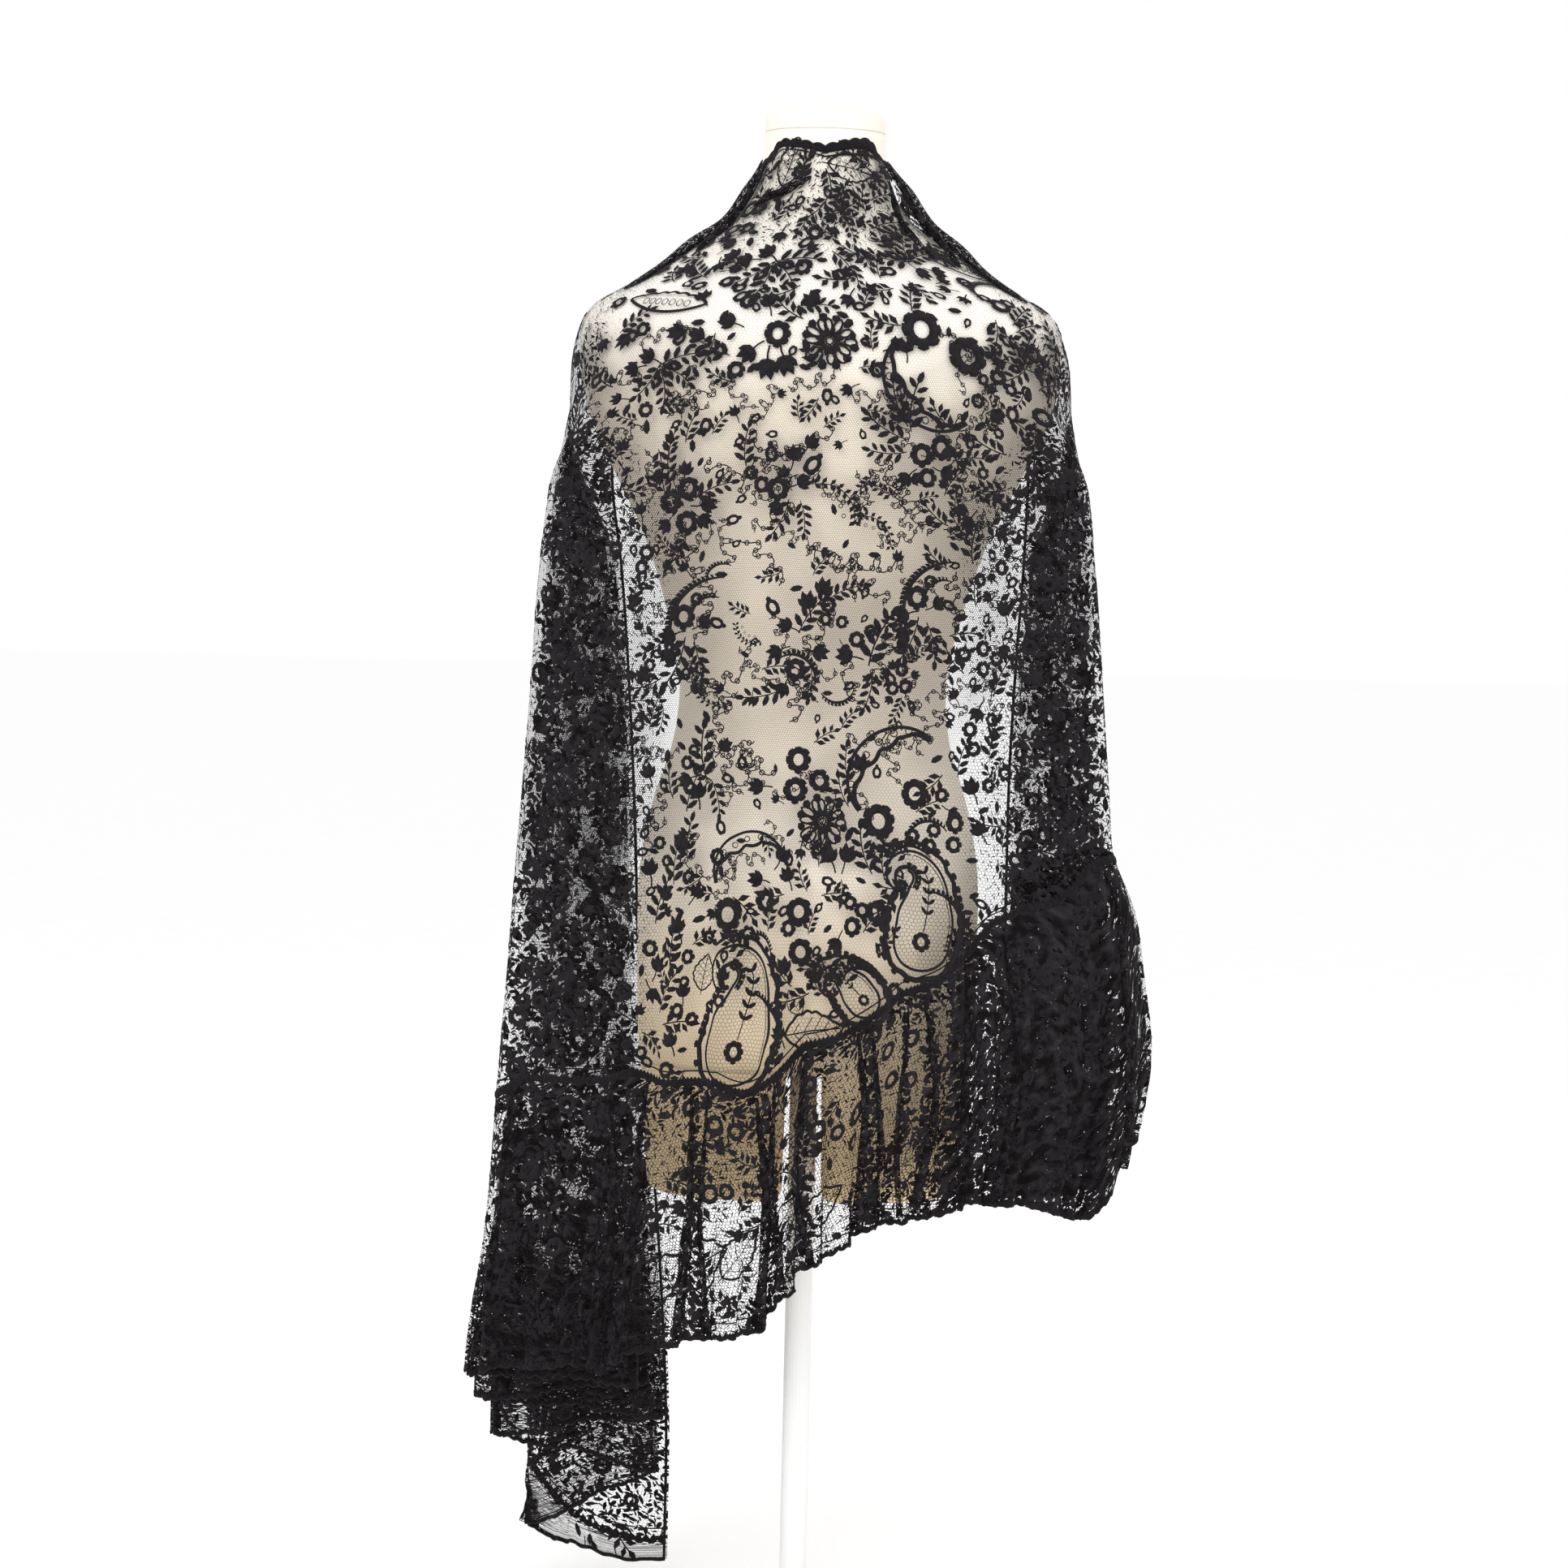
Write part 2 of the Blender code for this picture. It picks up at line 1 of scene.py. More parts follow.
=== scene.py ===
"""Looks of a black lace mantilla worn on a limbless dress form. Metres, +Z up, the back faces -Y.

The lace is one surface over two numbers: t, from the free front edge on the left (-1) over the centre
of the back (0) to the free front edge on the right (1), and the height z. Its pattern is laid on that
surface in metres, through tables of its lengths.
"""

import math

import bpy
import numpy as np
from mathutils import Matrix, Vector


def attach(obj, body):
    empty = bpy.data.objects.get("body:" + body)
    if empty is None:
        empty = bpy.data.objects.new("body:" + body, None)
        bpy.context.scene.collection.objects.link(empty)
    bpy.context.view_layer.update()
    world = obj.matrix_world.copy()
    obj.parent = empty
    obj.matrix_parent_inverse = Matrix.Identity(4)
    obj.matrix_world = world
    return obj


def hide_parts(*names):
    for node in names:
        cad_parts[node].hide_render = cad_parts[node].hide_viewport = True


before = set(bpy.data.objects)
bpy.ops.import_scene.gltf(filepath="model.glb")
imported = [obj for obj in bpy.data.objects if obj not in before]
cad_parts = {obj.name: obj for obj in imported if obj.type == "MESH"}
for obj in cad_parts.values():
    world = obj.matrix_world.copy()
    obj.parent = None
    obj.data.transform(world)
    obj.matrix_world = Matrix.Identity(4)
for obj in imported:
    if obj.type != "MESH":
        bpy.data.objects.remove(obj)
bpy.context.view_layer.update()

# The camera: distance, height angle, roll, and where it looks
CAMERA_DISTANCE = 3.5
CAMERA_ELEVATION = math.radians(3.0)
CAMERA_ROLL = math.radians(1.32)
CAMERA_TARGET = np.array([0.0, 0.0, 0.70])
CAMERA_LENS = 98.8
CAMERA_SHIFT = (-0.0170, -0.0025)

# Sizes of the form
GAP = 0.0003
FORM_BOTTOM = 0.364
NECK_TOP = 1.222
NECK_CAP_RISE = 0.0195
THIGH_GAP_TOP = 0.470
THIGH_GAP_WIDE = 0.032
THIGH_GAP_NARROW = 0.029

# Sizes of the lace, as its solids have them
NECK_CLEARANCE = 0.00105
NECK_CLEARANCE_FROM = 1.19
SHOULDER_CLEARANCE = 0.0026
BACK_SHARE = 0.20
BACK_WIDTH_SHARE = 0.667
FOLDS_START = 1.070
FOLDS_FULL = 0.930
FOLD_DEPTH_START = 1.020
FOLD_DEPTH_FULL = 0.870
APEX_EASE = 0.127
SEAM_DROP = 0.0006
BACK_WAVES = 4.0
LEG_HALF_WAVES = 4
BACK_WAVE_DEPTH = 0.0125
LEG_WAVE_DEPTH = 0.0070
PANEL_WAVE_DEPTH = 0.0050
PANEL_WAVES_START = 0.820
PANEL_WAVES_FULL = 0.520
PANEL_WAVES_SIDE = (0.14, 0.24)
WAVE_PHASE = 0.6
GATHER_SPREAD = 0.6
FIRST_FOLD = (0.32, 0.55)
NECK_SCALLOP = 0.42
NECK_SCALLOP_RISE = 0.0045
SCALLOP_RISE = 0.007
SCALLOPS_PER_LEG = 1.5
HEM_SCALLOP_RISE = 0.004
HEM_SCALLOPS_PER_LEG = 2.5
HANG_TOP = 1.000

# One row for each level of the form, from the neck down: height, half width, depth to the back,
# depth to the front, and the power of its superellipse.
FORM_LEVELS = [
    (1.2220, 0.0485, 0.0525, 0.0525, 2.0),
    (1.2000, 0.0490, 0.0530, 0.0530, 2.0),
    (1.1780, 0.0550, 0.0580, 0.0565, 2.0),
    (1.1480, 0.0760, 0.0680, 0.0640, 2.0),
    (1.1270, 0.1070, 0.0770, 0.0700, 2.1),
    (1.1030, 0.1430, 0.0850, 0.0775, 2.2),
    (1.0820, 0.1800, 0.0920, 0.0860, 2.3),
    (1.0550, 0.1945, 0.0990, 0.0950, 2.4),
    (1.0000, 0.1880, 0.1090, 0.1150, 2.3),
    (0.9500, 0.1660, 0.1080, 0.1200, 2.2),
    (0.8950, 0.1390, 0.0980, 0.1080, 2.2),
    (0.8400, 0.1210, 0.0860, 0.0920, 2.2),
    (0.7750, 0.1080, 0.0790, 0.0830, 2.2),
    (0.7330, 0.1120, 0.0830, 0.0830, 2.2),
    (0.6800, 0.1280, 0.0950, 0.0860, 2.2),
    (0.6300, 0.1370, 0.1040, 0.0890, 2.3),
    (0.5500, 0.1380, 0.1040, 0.0900, 2.3),
    (0.4500, 0.1330, 0.0920, 0.0860, 2.3),
    (0.3640, 0.1265, 0.0800, 0.0790, 2.3),
]
# Where the cloth hangs free: height, half width left and right, depth to the back and to the front.
HANG_LEVELS = [
    (1.0000, 0.2030, 0.2055, 0.1150, 0.1240),
    (0.9500, 0.2110, 0.2145, 0.1185, 0.1310),
    (0.8700, 0.2200, 0.2235, 0.1190, 0.1340),
    (0.7600, 0.2262, 0.2335, 0.1180, 0.1350),
    (0.6440, 0.2337, 0.2425, 0.1175, 0.1360),
    (0.5400, 0.2400, 0.2450, 0.1180, 0.1370),
    (0.4400, 0.2468, 0.2490, 0.1190, 0.1380),
    (0.3400, 0.2534, 0.2522, 0.1205, 0.1390),
    (0.2200, 0.2670, 0.2520, 0.1230, 0.1400),
    (0.0300, 0.2600, 0.2500, 0.1250, 0.1350),
]
# The free front edge: height, distance from the middle on the left and on the right.
FREE_EDGE = [
    (1.1460, 0.0440, 0.0440),
    (1.1000, 0.0820, 0.0820),
    (1.0550, 0.1200, 0.1200),
    (1.0000, 0.1520, 0.1520),
    (0.9500, 0.1720, 0.1760),
    (0.8700, 0.1625, 0.1740),
    (0.8000, 0.1560, 0.1700),
    (0.6700, 0.1470, 0.1660),
    (0.5500, 0.1410, 0.1660),
    (0.4400, 0.1320, 0.1630),
    (0.3000, 0.1180, 0.1600),
    (0.1500, 0.1080, 0.1550),
    (0.0300, 0.1070, 0.1550),
]
# The side folds from back to front: how far in each turn lies, and how far towards the front.
FOLD_TURNS = [
    ("turn out 1", 0.00, 0.130),
    ("turn in 1", 0.93, 0.255),
    ("turn out 2", 0.04, 0.385),
    ("turn in 2", 1.00, 0.505),
    ("turn out 3", 0.09, 0.630),
    ("turn in 3", 0.94, 0.745),
    ("turn out 4", 0.24, 0.880),
]
LEGS = len(FOLD_TURNS) + 1
# The field's lower edge and the flounce below it: s, edge height, flounce depth.
LEFT_EDGE = [
    (0.00, 0.493, 0.176),
    (0.02, 0.480, 0.188),
    (0.035, 0.470, 0.198),
    (0.06, 0.459, 0.194),
    (0.12, 0.468, 0.212),
    (0.20, 0.466, 0.232),
    (0.30, 0.450, 0.228),
    (0.40, 0.432, 0.222),
    (0.50, 0.406, 0.216),
    (0.60, 0.368, 0.196),
    (0.70, 0.308, 0.160),
    (0.80, 0.222, 0.108),
    (0.88, 0.132, 0.060),
    (0.94, 0.078, 0.034),
    (1.00, 0.040, 0.014),
]
RIGHT_EDGE = [
    (0.00, 0.493, 0.176),
    (0.03, 0.508, 0.174),
    (0.06, 0.524, 0.172),
    (0.12, 0.556, 0.192),
    (0.16, 0.588, 0.214),
    (0.20, 0.612, 0.242),
    (0.25, 0.636, 0.276),
    (0.30, 0.650, 0.232),
    (0.40, 0.642, 0.262),
    (0.50, 0.634, 0.258),
    (0.60, 0.622, 0.250),
    (0.70, 0.606, 0.236),
    (0.80, 0.590, 0.228),
    (0.90, 0.574, 0.220),
    (1.00, 0.560, 0.214),
]
# Where a fold stands out beyond the outline: height, on the left, on the right.
STAND_OUT = [
    (1.2050, 0.0000, 0.0000),
    (1.1700, 0.0020, 0.0095),
    (1.1450, 0.0020, 0.0090),
    (1.1200, 0.0000, 0.0020),
    (1.0950, 0.0000, 0.0000),
    (0.6600, 0.0000, 0.0000),
    (0.6000, 0.0000, 0.0190),
    (0.5500, 0.0000, 0.0260),
    (0.5000, 0.0000, 0.0310),
    (0.4500, 0.0000, 0.0250),
    (0.3800, 0.0000, 0.0080),
    (0.3000, 0.0000, 0.0000),
]
# The upper edge round the neck: s, height.
NECK_EDGE = [(0.00, 1.208), (0.20, 1.209), (0.36, 1.204), (0.56, 1.192), (0.80, 1.170), (1.00, 1.146)]


def smooth_column(at, stations, values):
    """A smooth curve through a table's column: cubic Hermite with each slope from its neighbours."""
    order = np.argsort(stations)
    x = np.asarray(stations, float)[order]
    v = np.asarray(values, float)[order]
    rise = np.diff(v) / np.diff(x)
    slope = np.concatenate([[rise[0]], (rise[:-1] + rise[1:]) / 2, [rise[-1]]])
    flat = np.concatenate([[False], rise[:-1] * rise[1:] <= 0, [False]])
    slope[flat] = 0.0
    at = np.clip(np.asarray(at, float), x[0], x[-1])
    i = np.clip(np.searchsorted(x, at) - 1, 0, len(x) - 2)
    step = x[i + 1] - x[i]
    u = (at - x[i]) / step
    return (
        v[i] * (1 + 2 * u) * (1 - u) ** 2
        + v[i + 1] * u * u * (3 - 2 * u)
        + step * (slope[i] * u * (1 - u) ** 2 - slope[i + 1] * u * u * (1 - u))
    )


def column(table, index, at):
    """The table's column, smoothly between its rows."""
    return smooth_column(at, [row[0] for row in table], [row[index] for row in table])


def ease(low, high, at):
    """0 at low, 1 at high, level at both ends."""
    u = np.clip((at - low) / (high - low), 0.0, 1.0)
    return u * u * (3 - 2 * u)


def cloth_levels():
    """The cloth's own levels: the form plus a clearance down to the shoulders, then the free hang."""
    rows = []
    for z, half_width, back, front, _ in FORM_LEVELS:
        if z > HANG_TOP:
            clear = NECK_CLEARANCE if z > NECK_CLEARANCE_FROM else SHOULDER_CLEARANCE
            rows.append((z, half_width + clear, half_width + clear, back + clear, front + clear))
    return rows + HANG_LEVELS


CLOTH_LEVELS = cloth_levels()


def on_side(t, table, z):
    """The table's left column where t is left of the middle, and its right column elsewhere."""
    return np.where(t < 0, column(table, 1, z), column(table, 2, z))


def take_row(table, index):
    """From a table of arrays, the value that each point's own index picks."""
    return np.take_along_axis(table, index[None, ...], axis=0)[0]


def unit(vectors):
    """Vectors brought to length 1, along the last axis."""
    return vectors / np.maximum(np.linalg.norm(vectors, axis=-1, keepdims=True), 1e-12)


def base_line(s, sizes, power, free_x):
    """The lace's line with no folds: a superellipse round the form from the back to the free edge."""
    half_width, back, front = sizes
    side_share = np.clip((s - BACK_SHARE) / (1 - BACK_SHARE), 0.0, 1.0)
    angle_start = np.arcsin(BACK_WIDTH_SHARE ** (power / 2))
    angle_end = math.pi - np.arcsin((free_x / half_width) ** (power / 2))
    angle = angle_start + (angle_end - angle_start) * side_share
    on_back = s <= BACK_SHARE
    x_share = np.where(on_back, BACK_WIDTH_SHARE * s / BACK_SHARE, np.abs(np.sin(angle)) ** (2 / power))
    y_share = np.where(
        on_back,
        (1 - np.clip(x_share, 0, 1) ** power) ** (1 / power),
        np.abs(np.cos(angle)) ** (2 / power),
    )
    behind = on_back | (angle < math.pi / 2)
    return half_width * x_share, np.where(behind, -back * y_share, front * y_share)


def folded_line(s, z, sizes, power, free_x):
    """The lace's line through the turns of FOLD_TURNS: each leg eases out of one and into the next."""
    half_width, back, front = sizes
    depth = (half_width - free_x) * (1 - ease(FOLD_DEPTH_FULL, FOLD_DEPTH_START, z))
    side_share = np.clip((s - BACK_SHARE) / (1 - BACK_SHARE), 0.0, 1.0)
    back_y = (1 - BACK_WIDTH_SHARE**power) ** (1 / power)
    start_y = -back * back_y
    start_slope = back / half_width * (BACK_WIDTH_SHARE / back_y) ** (power - 1)
    turn_x = [half_width * BACK_WIDTH_SHARE]
    turn_y = [start_y]
    for _, inward, forward in FOLD_TURNS:
        turn_x.append(half_width - depth * inward)
        turn_y.append(start_y + (front - start_y) * forward)
    turn_x = np.array(turn_x + [free_x])
    turn_y = np.array(turn_y + [front])
    leg = np.clip(np.floor(side_share * LEGS).astype(int), 0, LEGS - 1)
    along = side_share * LEGS - leg
    first, last = leg == 0, leg == LEGS - 1
    x0, x1 = take_row(turn_x, leg), take_row(turn_x, leg + 1)
    y0, y1 = take_row(turn_y, leg), take_row(turn_y, leg + 1)
    quarter = along * math.pi / 2
    x_ease = (1 - np.cos(np.pi * along)) / 2
    y_ease = along + APEX_EASE * np.sin(2 * np.pi * along)
    x_ease = np.where(first, np.sin(quarter), np.where(last, 1 - np.cos(quarter), x_ease))
    y_ease = np.where(first, 1 - np.cos(quarter), np.where(last, np.sin(quarter), y_ease))
    x = x0 + (x1 - x0) * x_ease
    y = y0 + (y1 - y0) * y_ease + np.where(first, start_slope * (x - x0) * (1 - along) ** 2, 0.0)
    return x, y


def back_waves(t):
    """Even waves along the back, which run on over its middle."""
    return np.cos(2 * np.pi * t * BACK_WAVES / BACK_SHARE + WAVE_PHASE)


def smooth_lace(t, z):
    """A point on the middle of the lace, with the form of its solids: base line above, folds below."""
    t, z = np.broadcast_arrays(np.asarray(t, float), np.asarray(z, float))
    s = np.minimum(np.abs(t), 1.0)
    reach = np.where(z > HANG_TOP, 1.0, 1 - ease(*FIRST_FOLD, s))
    half_width = on_side(t, CLOTH_LEVELS, z) + on_side(t, STAND_OUT, z) * reach
    sizes = (half_width, column(CLOTH_LEVELS, 3, z), column(CLOTH_LEVELS, 4, z))
    power = column(FORM_LEVELS, 4, z)
    free_x = on_side(t, FREE_EDGE, z)
    base_x, base_y = base_line(s, sizes, power, free_x)
    fold_x, fold_y = folded_line(s, z, sizes, power, free_x)
    folded = np.where(s <= BACK_SHARE, 0.0, 1 - ease(FOLDS_FULL, FOLDS_START, z))
    x = base_x + (fold_x - base_x) * folded
    y = base_y + (fold_y - base_y) * folded
    near_back = 1 - ease(*PANEL_WAVES_SIDE, s)
    low = 1 - ease(PANEL_WAVES_FULL, PANEL_WAVES_START, z)
    y = y + PANEL_WAVE_DEPTH * low * near_back * back_waves(t)
    return np.stack([np.where(t < 0, -x, x), y, z], axis=-1)


def outward(t, z):
    """The horizontal direction square to the lace, away from the form on the back."""
    nudge = 1e-4
    along = smooth_lace(t + nudge, z) - smooth_lace(t - nudge, z)
    across = np.stack([along[..., 1], -along[..., 0], np.zeros_like(along[..., 0])], axis=-1)
    return unit(across)


# Creases, one row each: t and z at the upper end, t and z at the lower end, half width in t, height in
# metres.
CREASES = [
    (-0.060, 0.930, -0.085, 0.500, 0.008, 0.0030),
    (-0.115, 0.860, -0.135, 0.470, 0.007, 0.0034),
    (-0.150, 1.000, -0.172, 0.560, 0.006, 0.0028),
    (-0.030, 0.760, -0.036, 0.480, 0.006, 0.0024),
    (0.020, 0.820, 0.028, 0.520, 0.007, 0.0026),
    (0.075, 0.900, 0.096, 0.560, 0.008, 0.0032),
    (0.120, 0.980, 0.146, 0.600, 0.007, 0.0030),
    (0.165, 1.010, 0.178, 0.640, 0.006, 0.0032),
    (0.100, 1.160, 0.190, 1.085, 0.020, 0.0022),
    (-0.110, 1.165, -0.210, 1.080, 0.022, 0.0024),
    (0.040, 1.110, 0.180, 0.990, 0.012, 0.0020),
    (-0.050, 1.100, -0.170, 1.000, 0.012, 0.0022),
    (0.240, 0.900, 0.232, 0.640, 0.007, 0.0034),
    (0.262, 0.800, 0.275, 0.610, 0.006, 0.0030),
    (-0.236, 0.940, -0.228, 0.480, 0.008, 0.0036),
    (-0.268, 0.820, -0.276, 0.470, 0.006, 0.0032),
    (0.345, 0.860, 0.352, 0.600, 0.010, 0.0030),
    (-0.350, 0.880, -0.342, 0.440, 0.010, 0.0034),
    (0.450, 0.940, 0.462, 0.620, 0.011, 0.0036),
    (-0.455, 0.920, -0.446, 0.400, 0.010, 0.0032),
    (0.655, 0.900, 0.640, 0.600, 0.011, 0.0034),
    (-0.650, 0.900, -0.662, 0.320, 0.011, 0.0036),
    (0.850, 0.930, 0.842, 0.600, 0.012, 0.0034),
    (-0.845, 0.940, -0.858, 0.240, 0.012, 0.0036),
    (0.940, 0.960, 0.955, 0.620, 0.012, 0.0030),
    (-0.948, 0.960, -0.938, 0.200, 0.012, 0.0032),
]
CREASE_FADE = 0.06


def crease_height(t, z):
    """How far the creases stand out: a bell across each, level along it, faded at both ends."""
    total = np.zeros(np.broadcast(t, z).shape)
    for t_top, z_top, t_low, z_low, half, height in CREASES:
        share = (z_top - z) / (z_top - z_low)
        middle = t_top + (t_low - t_top) * share
        bell = np.exp(-(((t - middle) / half) ** 2))
        fade = ease(z_low - CREASE_FADE, z_low, z) * (1 - ease(z_top, z_top + CREASE_FADE, z))
        total += height * bell * fade
    return total


def lace_point(t, z):
    """A point of the lace field: the smooth lace, moved out by its creases."""
    t, z = np.broadcast_arrays(np.asarray(t, float), np.asarray(z, float))
    return smooth_lace(t, z) + outward(t, z) * crease_height(t, z)[..., None]


def edge_column(index, t):
    """A column of the lower edge's table. It changes along a fold's leg and is level at its turns."""
    s = np.minimum(np.abs(t), 1.0)
    step = (1 - BACK_SHARE) / LEGS
    leg = np.floor(np.clip(s - BACK_SHARE, 0.0, None) / step)
    along = (s - BACK_SHARE) / step - leg
    stepped = BACK_SHARE + step * (leg + along * along * (3 - 2 * along))
    at = np.where(s > BACK_SHARE, stepped, s)
    return np.where(t < 0, column(LEFT_EDGE, index, at), column(RIGHT_EDGE, index, at))


def field_edge(t):
    """Height of the field's scalloped lower edge."""
    return edge_column(1, t) - SCALLOP_RISE * np.abs(np.sin(np.pi * t * LEGS * SCALLOPS_PER_LEG))


def neck_edge(t):
    """Height of the scalloped upper edge round the neck."""
    s = np.minimum(np.abs(t), 1.0)
    return column(NECK_EDGE, 1, s) + NECK_SCALLOP_RISE * np.abs(np.sin(np.pi * s / NECK_SCALLOP))


PLEAT_DEPTH = 0.0030
PLEATS = 68
PLEAT_DRIFT, SECOND_DRIFT = 2.2, 1.4
SECOND_PLEATS = 0.61
PLEAT_AT_SEAM = 0.35


def leg_wave(t):
    """The flounce's gathers: waves along the back, and waves that die out at each turn of a fold."""
    s = np.minimum(np.abs(t), 1.0)
    side_share = np.clip((s - BACK_SHARE) / (1 - BACK_SHARE), 0.0, 1.0)
    along = side_share * LEGS - np.clip(np.floor(side_share * LEGS), 0, LEGS - 1)
    on_leg = LEG_WAVE_DEPTH * np.sin(np.pi * LEG_HALF_WAVES * along) * np.sin(np.pi * along)
    near_end = 1 - ease(BACK_SHARE * 0.85, BACK_SHARE, s)
    return np.where(s <= BACK_SHARE, BACK_WAVE_DEPTH * back_waves(t) * near_end, on_leg)


def small_pleats(t, down):
    """Small uneven pleats between the gathers: two sines whose phase drifts along the seam."""
    turns = 2 * np.pi * t
    drift = PLEAT_DRIFT * np.sin(5.3 * turns) + SECOND_DRIFT * np.sin(11.7 * turns + 1.0)
    wave = np.sin(PLEATS * turns + drift) + 0.5 * np.sin(SECOND_PLEATS * PLEATS * turns + 2 * drift)
    return PLEAT_DEPTH * wave * (PLEAT_AT_SEAM + (1 - PLEAT_AT_SEAM) * down)


def flounce_point(t, share):
    """A point of the flounce; share is 1 at its seam and 0 at its hem. It opens into waves."""
    t, share = np.broadcast_arrays(np.asarray(t, float), np.asarray(share, float))
    down = np.clip(1 - share, 0.0, 1.0)
    seam = field_edge(t) - SEAM_DROP
    scallop = HEM_SCALLOP_RISE * np.abs(np.sin(np.pi * t * LEGS * HEM_SCALLOPS_PER_LEG))
    hem = edge_column(1, t) - edge_column(2, t) - scallop
    z = seam + (hem - seam) * down
    push = (leg_wave(t) + small_pleats(t, down)) * down**GATHER_SPREAD
    return smooth_lace(t, z) + outward(t, z) * (push + crease_height(t, z) * share)[..., None]


def look(table, x, y):
    """Reads a table of rows y and columns x at places between its cells, by weighing four cells."""
    rows, columns = table.shape[:2]
    x = np.clip(x, 0, columns - 1.000001)
    y = np.clip(y, 0, rows - 1.000001)
    i, j = y.astype(int), x.astype(int)
    fx, fy = x - j, y - i
    if table.ndim == 3:
        fx, fy = fx[..., None], fy[..., None]
    upper = table[i, j] * (1 - fx) + table[i, j + 1] * fx
    lower = table[i + 1, j] * (1 - fx) + table[i + 1, j + 1] * fx
    return upper * (1 - fy) + lower * fy


class Chart:
    """Tables of a cloth surface point(t, w): its points, its normals and its lengths both ways."""

    def __init__(self, point, w_low, w_high, columns, rows):
        """Lengths are summed along each row and up each column, then turned round into t and w."""
        self.w_low, self.w_high = w_low, w_high
        self.columns, self.rows = columns, rows
        t = np.linspace(-1, 1, columns)
        w = np.linspace(w_low, w_high, rows)
        self.points = point(t[None, :], w[:, None])
        across = np.gradient(self.points, axis=1)
        upward = np.gradient(self.points, axis=0)
        normal = np.cross(across, upward)
        self.normals = unit(normal)
        self.area = np.linalg.norm(normal, axis=2)
        along = np.cumsum(np.linalg.norm(across, axis=2), axis=1)
        self.along = along - along[:, [columns // 2]]
        self.up = np.cumsum(np.linalg.norm(upward, axis=2), axis=0)
        self.u_low, self.u_high = self.along.min(), self.along.max()
        self.v_high = self.up.max()
        u = np.linspace(self.u_low, self.u_high, columns)
        v = np.linspace(0, self.v_high, rows)
        self.t_at = np.array([np.interp(u, row, t) for row in self.along])
        self.w_at = np.array([np.interp(v, up, w) for up in self.up.T]).T

    def x_of(self, t):
        """The table's column at t."""
        return (t + 1) / 2 * (self.columns - 1)

    def y_of(self, w):
        """The table's row at w."""
        return (w - self.w_low) / (self.w_high - self.w_low) * (self.rows - 1)

    def lengths(self, t, w):
        """How far a place lies from the middle along its row, and up its column."""
        return look(self.along, self.x_of(t), self.y_of(w)), look(self.up, self.x_of(t), self.y_of(w))

    def lay(self, t0, w0, a, b):
        """The place that lies a metres along and b metres up from (t0, w0), measured on the cloth."""
        v = look(self.up, self.x_of(t0), self.y_of(w0)) + b
        w = look(self.w_at, self.x_of(t0) + 0 * v, v / self.v_high * (self.rows - 1))
        u = look(self.along, self.x_of(t0) + 0 * w, self.y_of(w)) + a
        x = (u - self.u_low) / (self.u_high - self.u_low) * (self.columns - 1)
        return look(self.t_at, x, self.y_of(w)), w

    def at(self, t, w):
        """Points and normals of the cloth."""
        x, y = self.x_of(t), self.y_of(w)
        return look(self.points, x, y), look(self.normals, x, y)


def make_mesh(name, points, triangles=None, quads=None, smooth=True):
    """A mesh from arrays of points, triangles and quads."""
    triangles = np.zeros((0, 3), int) if triangles is None else triangles
    quads = np.zeros((0, 4), int) if quads is None else quads
    loops = np.concatenate([triangles.ravel(), quads.ravel()]).astype(np.int32)
    starts = np.concatenate([np.arange(len(triangles)) * 3, len(triangles) * 3 + np.arange(len(quads)) * 4])
    mesh = bpy.data.meshes.new(name)
    mesh.vertices.add(len(points))
    mesh.vertices.foreach_set("co", np.asarray(points, np.float32).ravel())
    mesh.loops.add(len(loops))
    mesh.loops.foreach_set("vertex_index", loops)
    mesh.polygons.add(len(starts))
    mesh.polygons.foreach_set("loop_start", starts.astype(np.int32))
    mesh.update(calc_edges=True)
    mesh.validate()
    if smooth:
        mesh.shade_smooth()
    return mesh


def add_piece(name, mesh, material, slot, *nodes):
    """A piece of the dressed part: its material, its body and the nodes it stands for. Its slot is not used.
    """
    piece = bpy.data.objects.new(name, mesh)
    mesh.materials.append(material)
    bpy.context.scene.collection.objects.link(piece)
    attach(piece, "root")
    if nodes:
        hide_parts(*nodes)
    return piece


def grid_quads(rows, columns, closed=False):
    """Quads of a grid whose rows go up and whose columns go right, seen from outside."""
    index = np.arange(rows * columns).reshape(rows, columns)
    right = np.roll(index, -1, axis=1) if closed else index[:, 1:]
    here = index if closed else index[:, :-1]
    return np.stack([here[:-1], right[:-1], right[1:], here[1:]], axis=-1).reshape(-1, 4)


# Procedural materials


def node(tree, kind, inputs=(), **settings):
    """A shader node with its settings; each input is a number, a colour or another node's socket."""
    made = tree.nodes.new(kind)
    for key, value in settings.items():
        setattr(made, key, value)
    for key, value in dict(inputs).items():
        if isinstance(value, bpy.types.NodeSocket):
            tree.links.new(value, made.inputs[key])
        else:
            made.inputs[key].default_value = value
    return made


def finish(
    name, colour, roughness, sheen=0.0, sheen_tint=(1, 1, 1, 1), sheen_roughness=0.5, specular=0.5
):
    """A material, its node tree and its Principled shader with the plain values on the sockets."""
    material = bpy.data.materials.new(name)
    material.use_nodes = True
    tree = material.node_tree
    shader = tree.nodes["Principled BSDF"]
    shader.inputs["Base Color"].default_value = colour
    shader.inputs["Roughness"].default_value = roughness
    shader.inputs["Sheen Weight"].default_value = sheen
    shader.inputs["Sheen Tint"].default_value = sheen_tint
    shader.inputs["Sheen Roughness"].default_value = sheen_roughness
    shader.inputs["Specular IOR Level"].default_value = specular
    return material, tree, shader


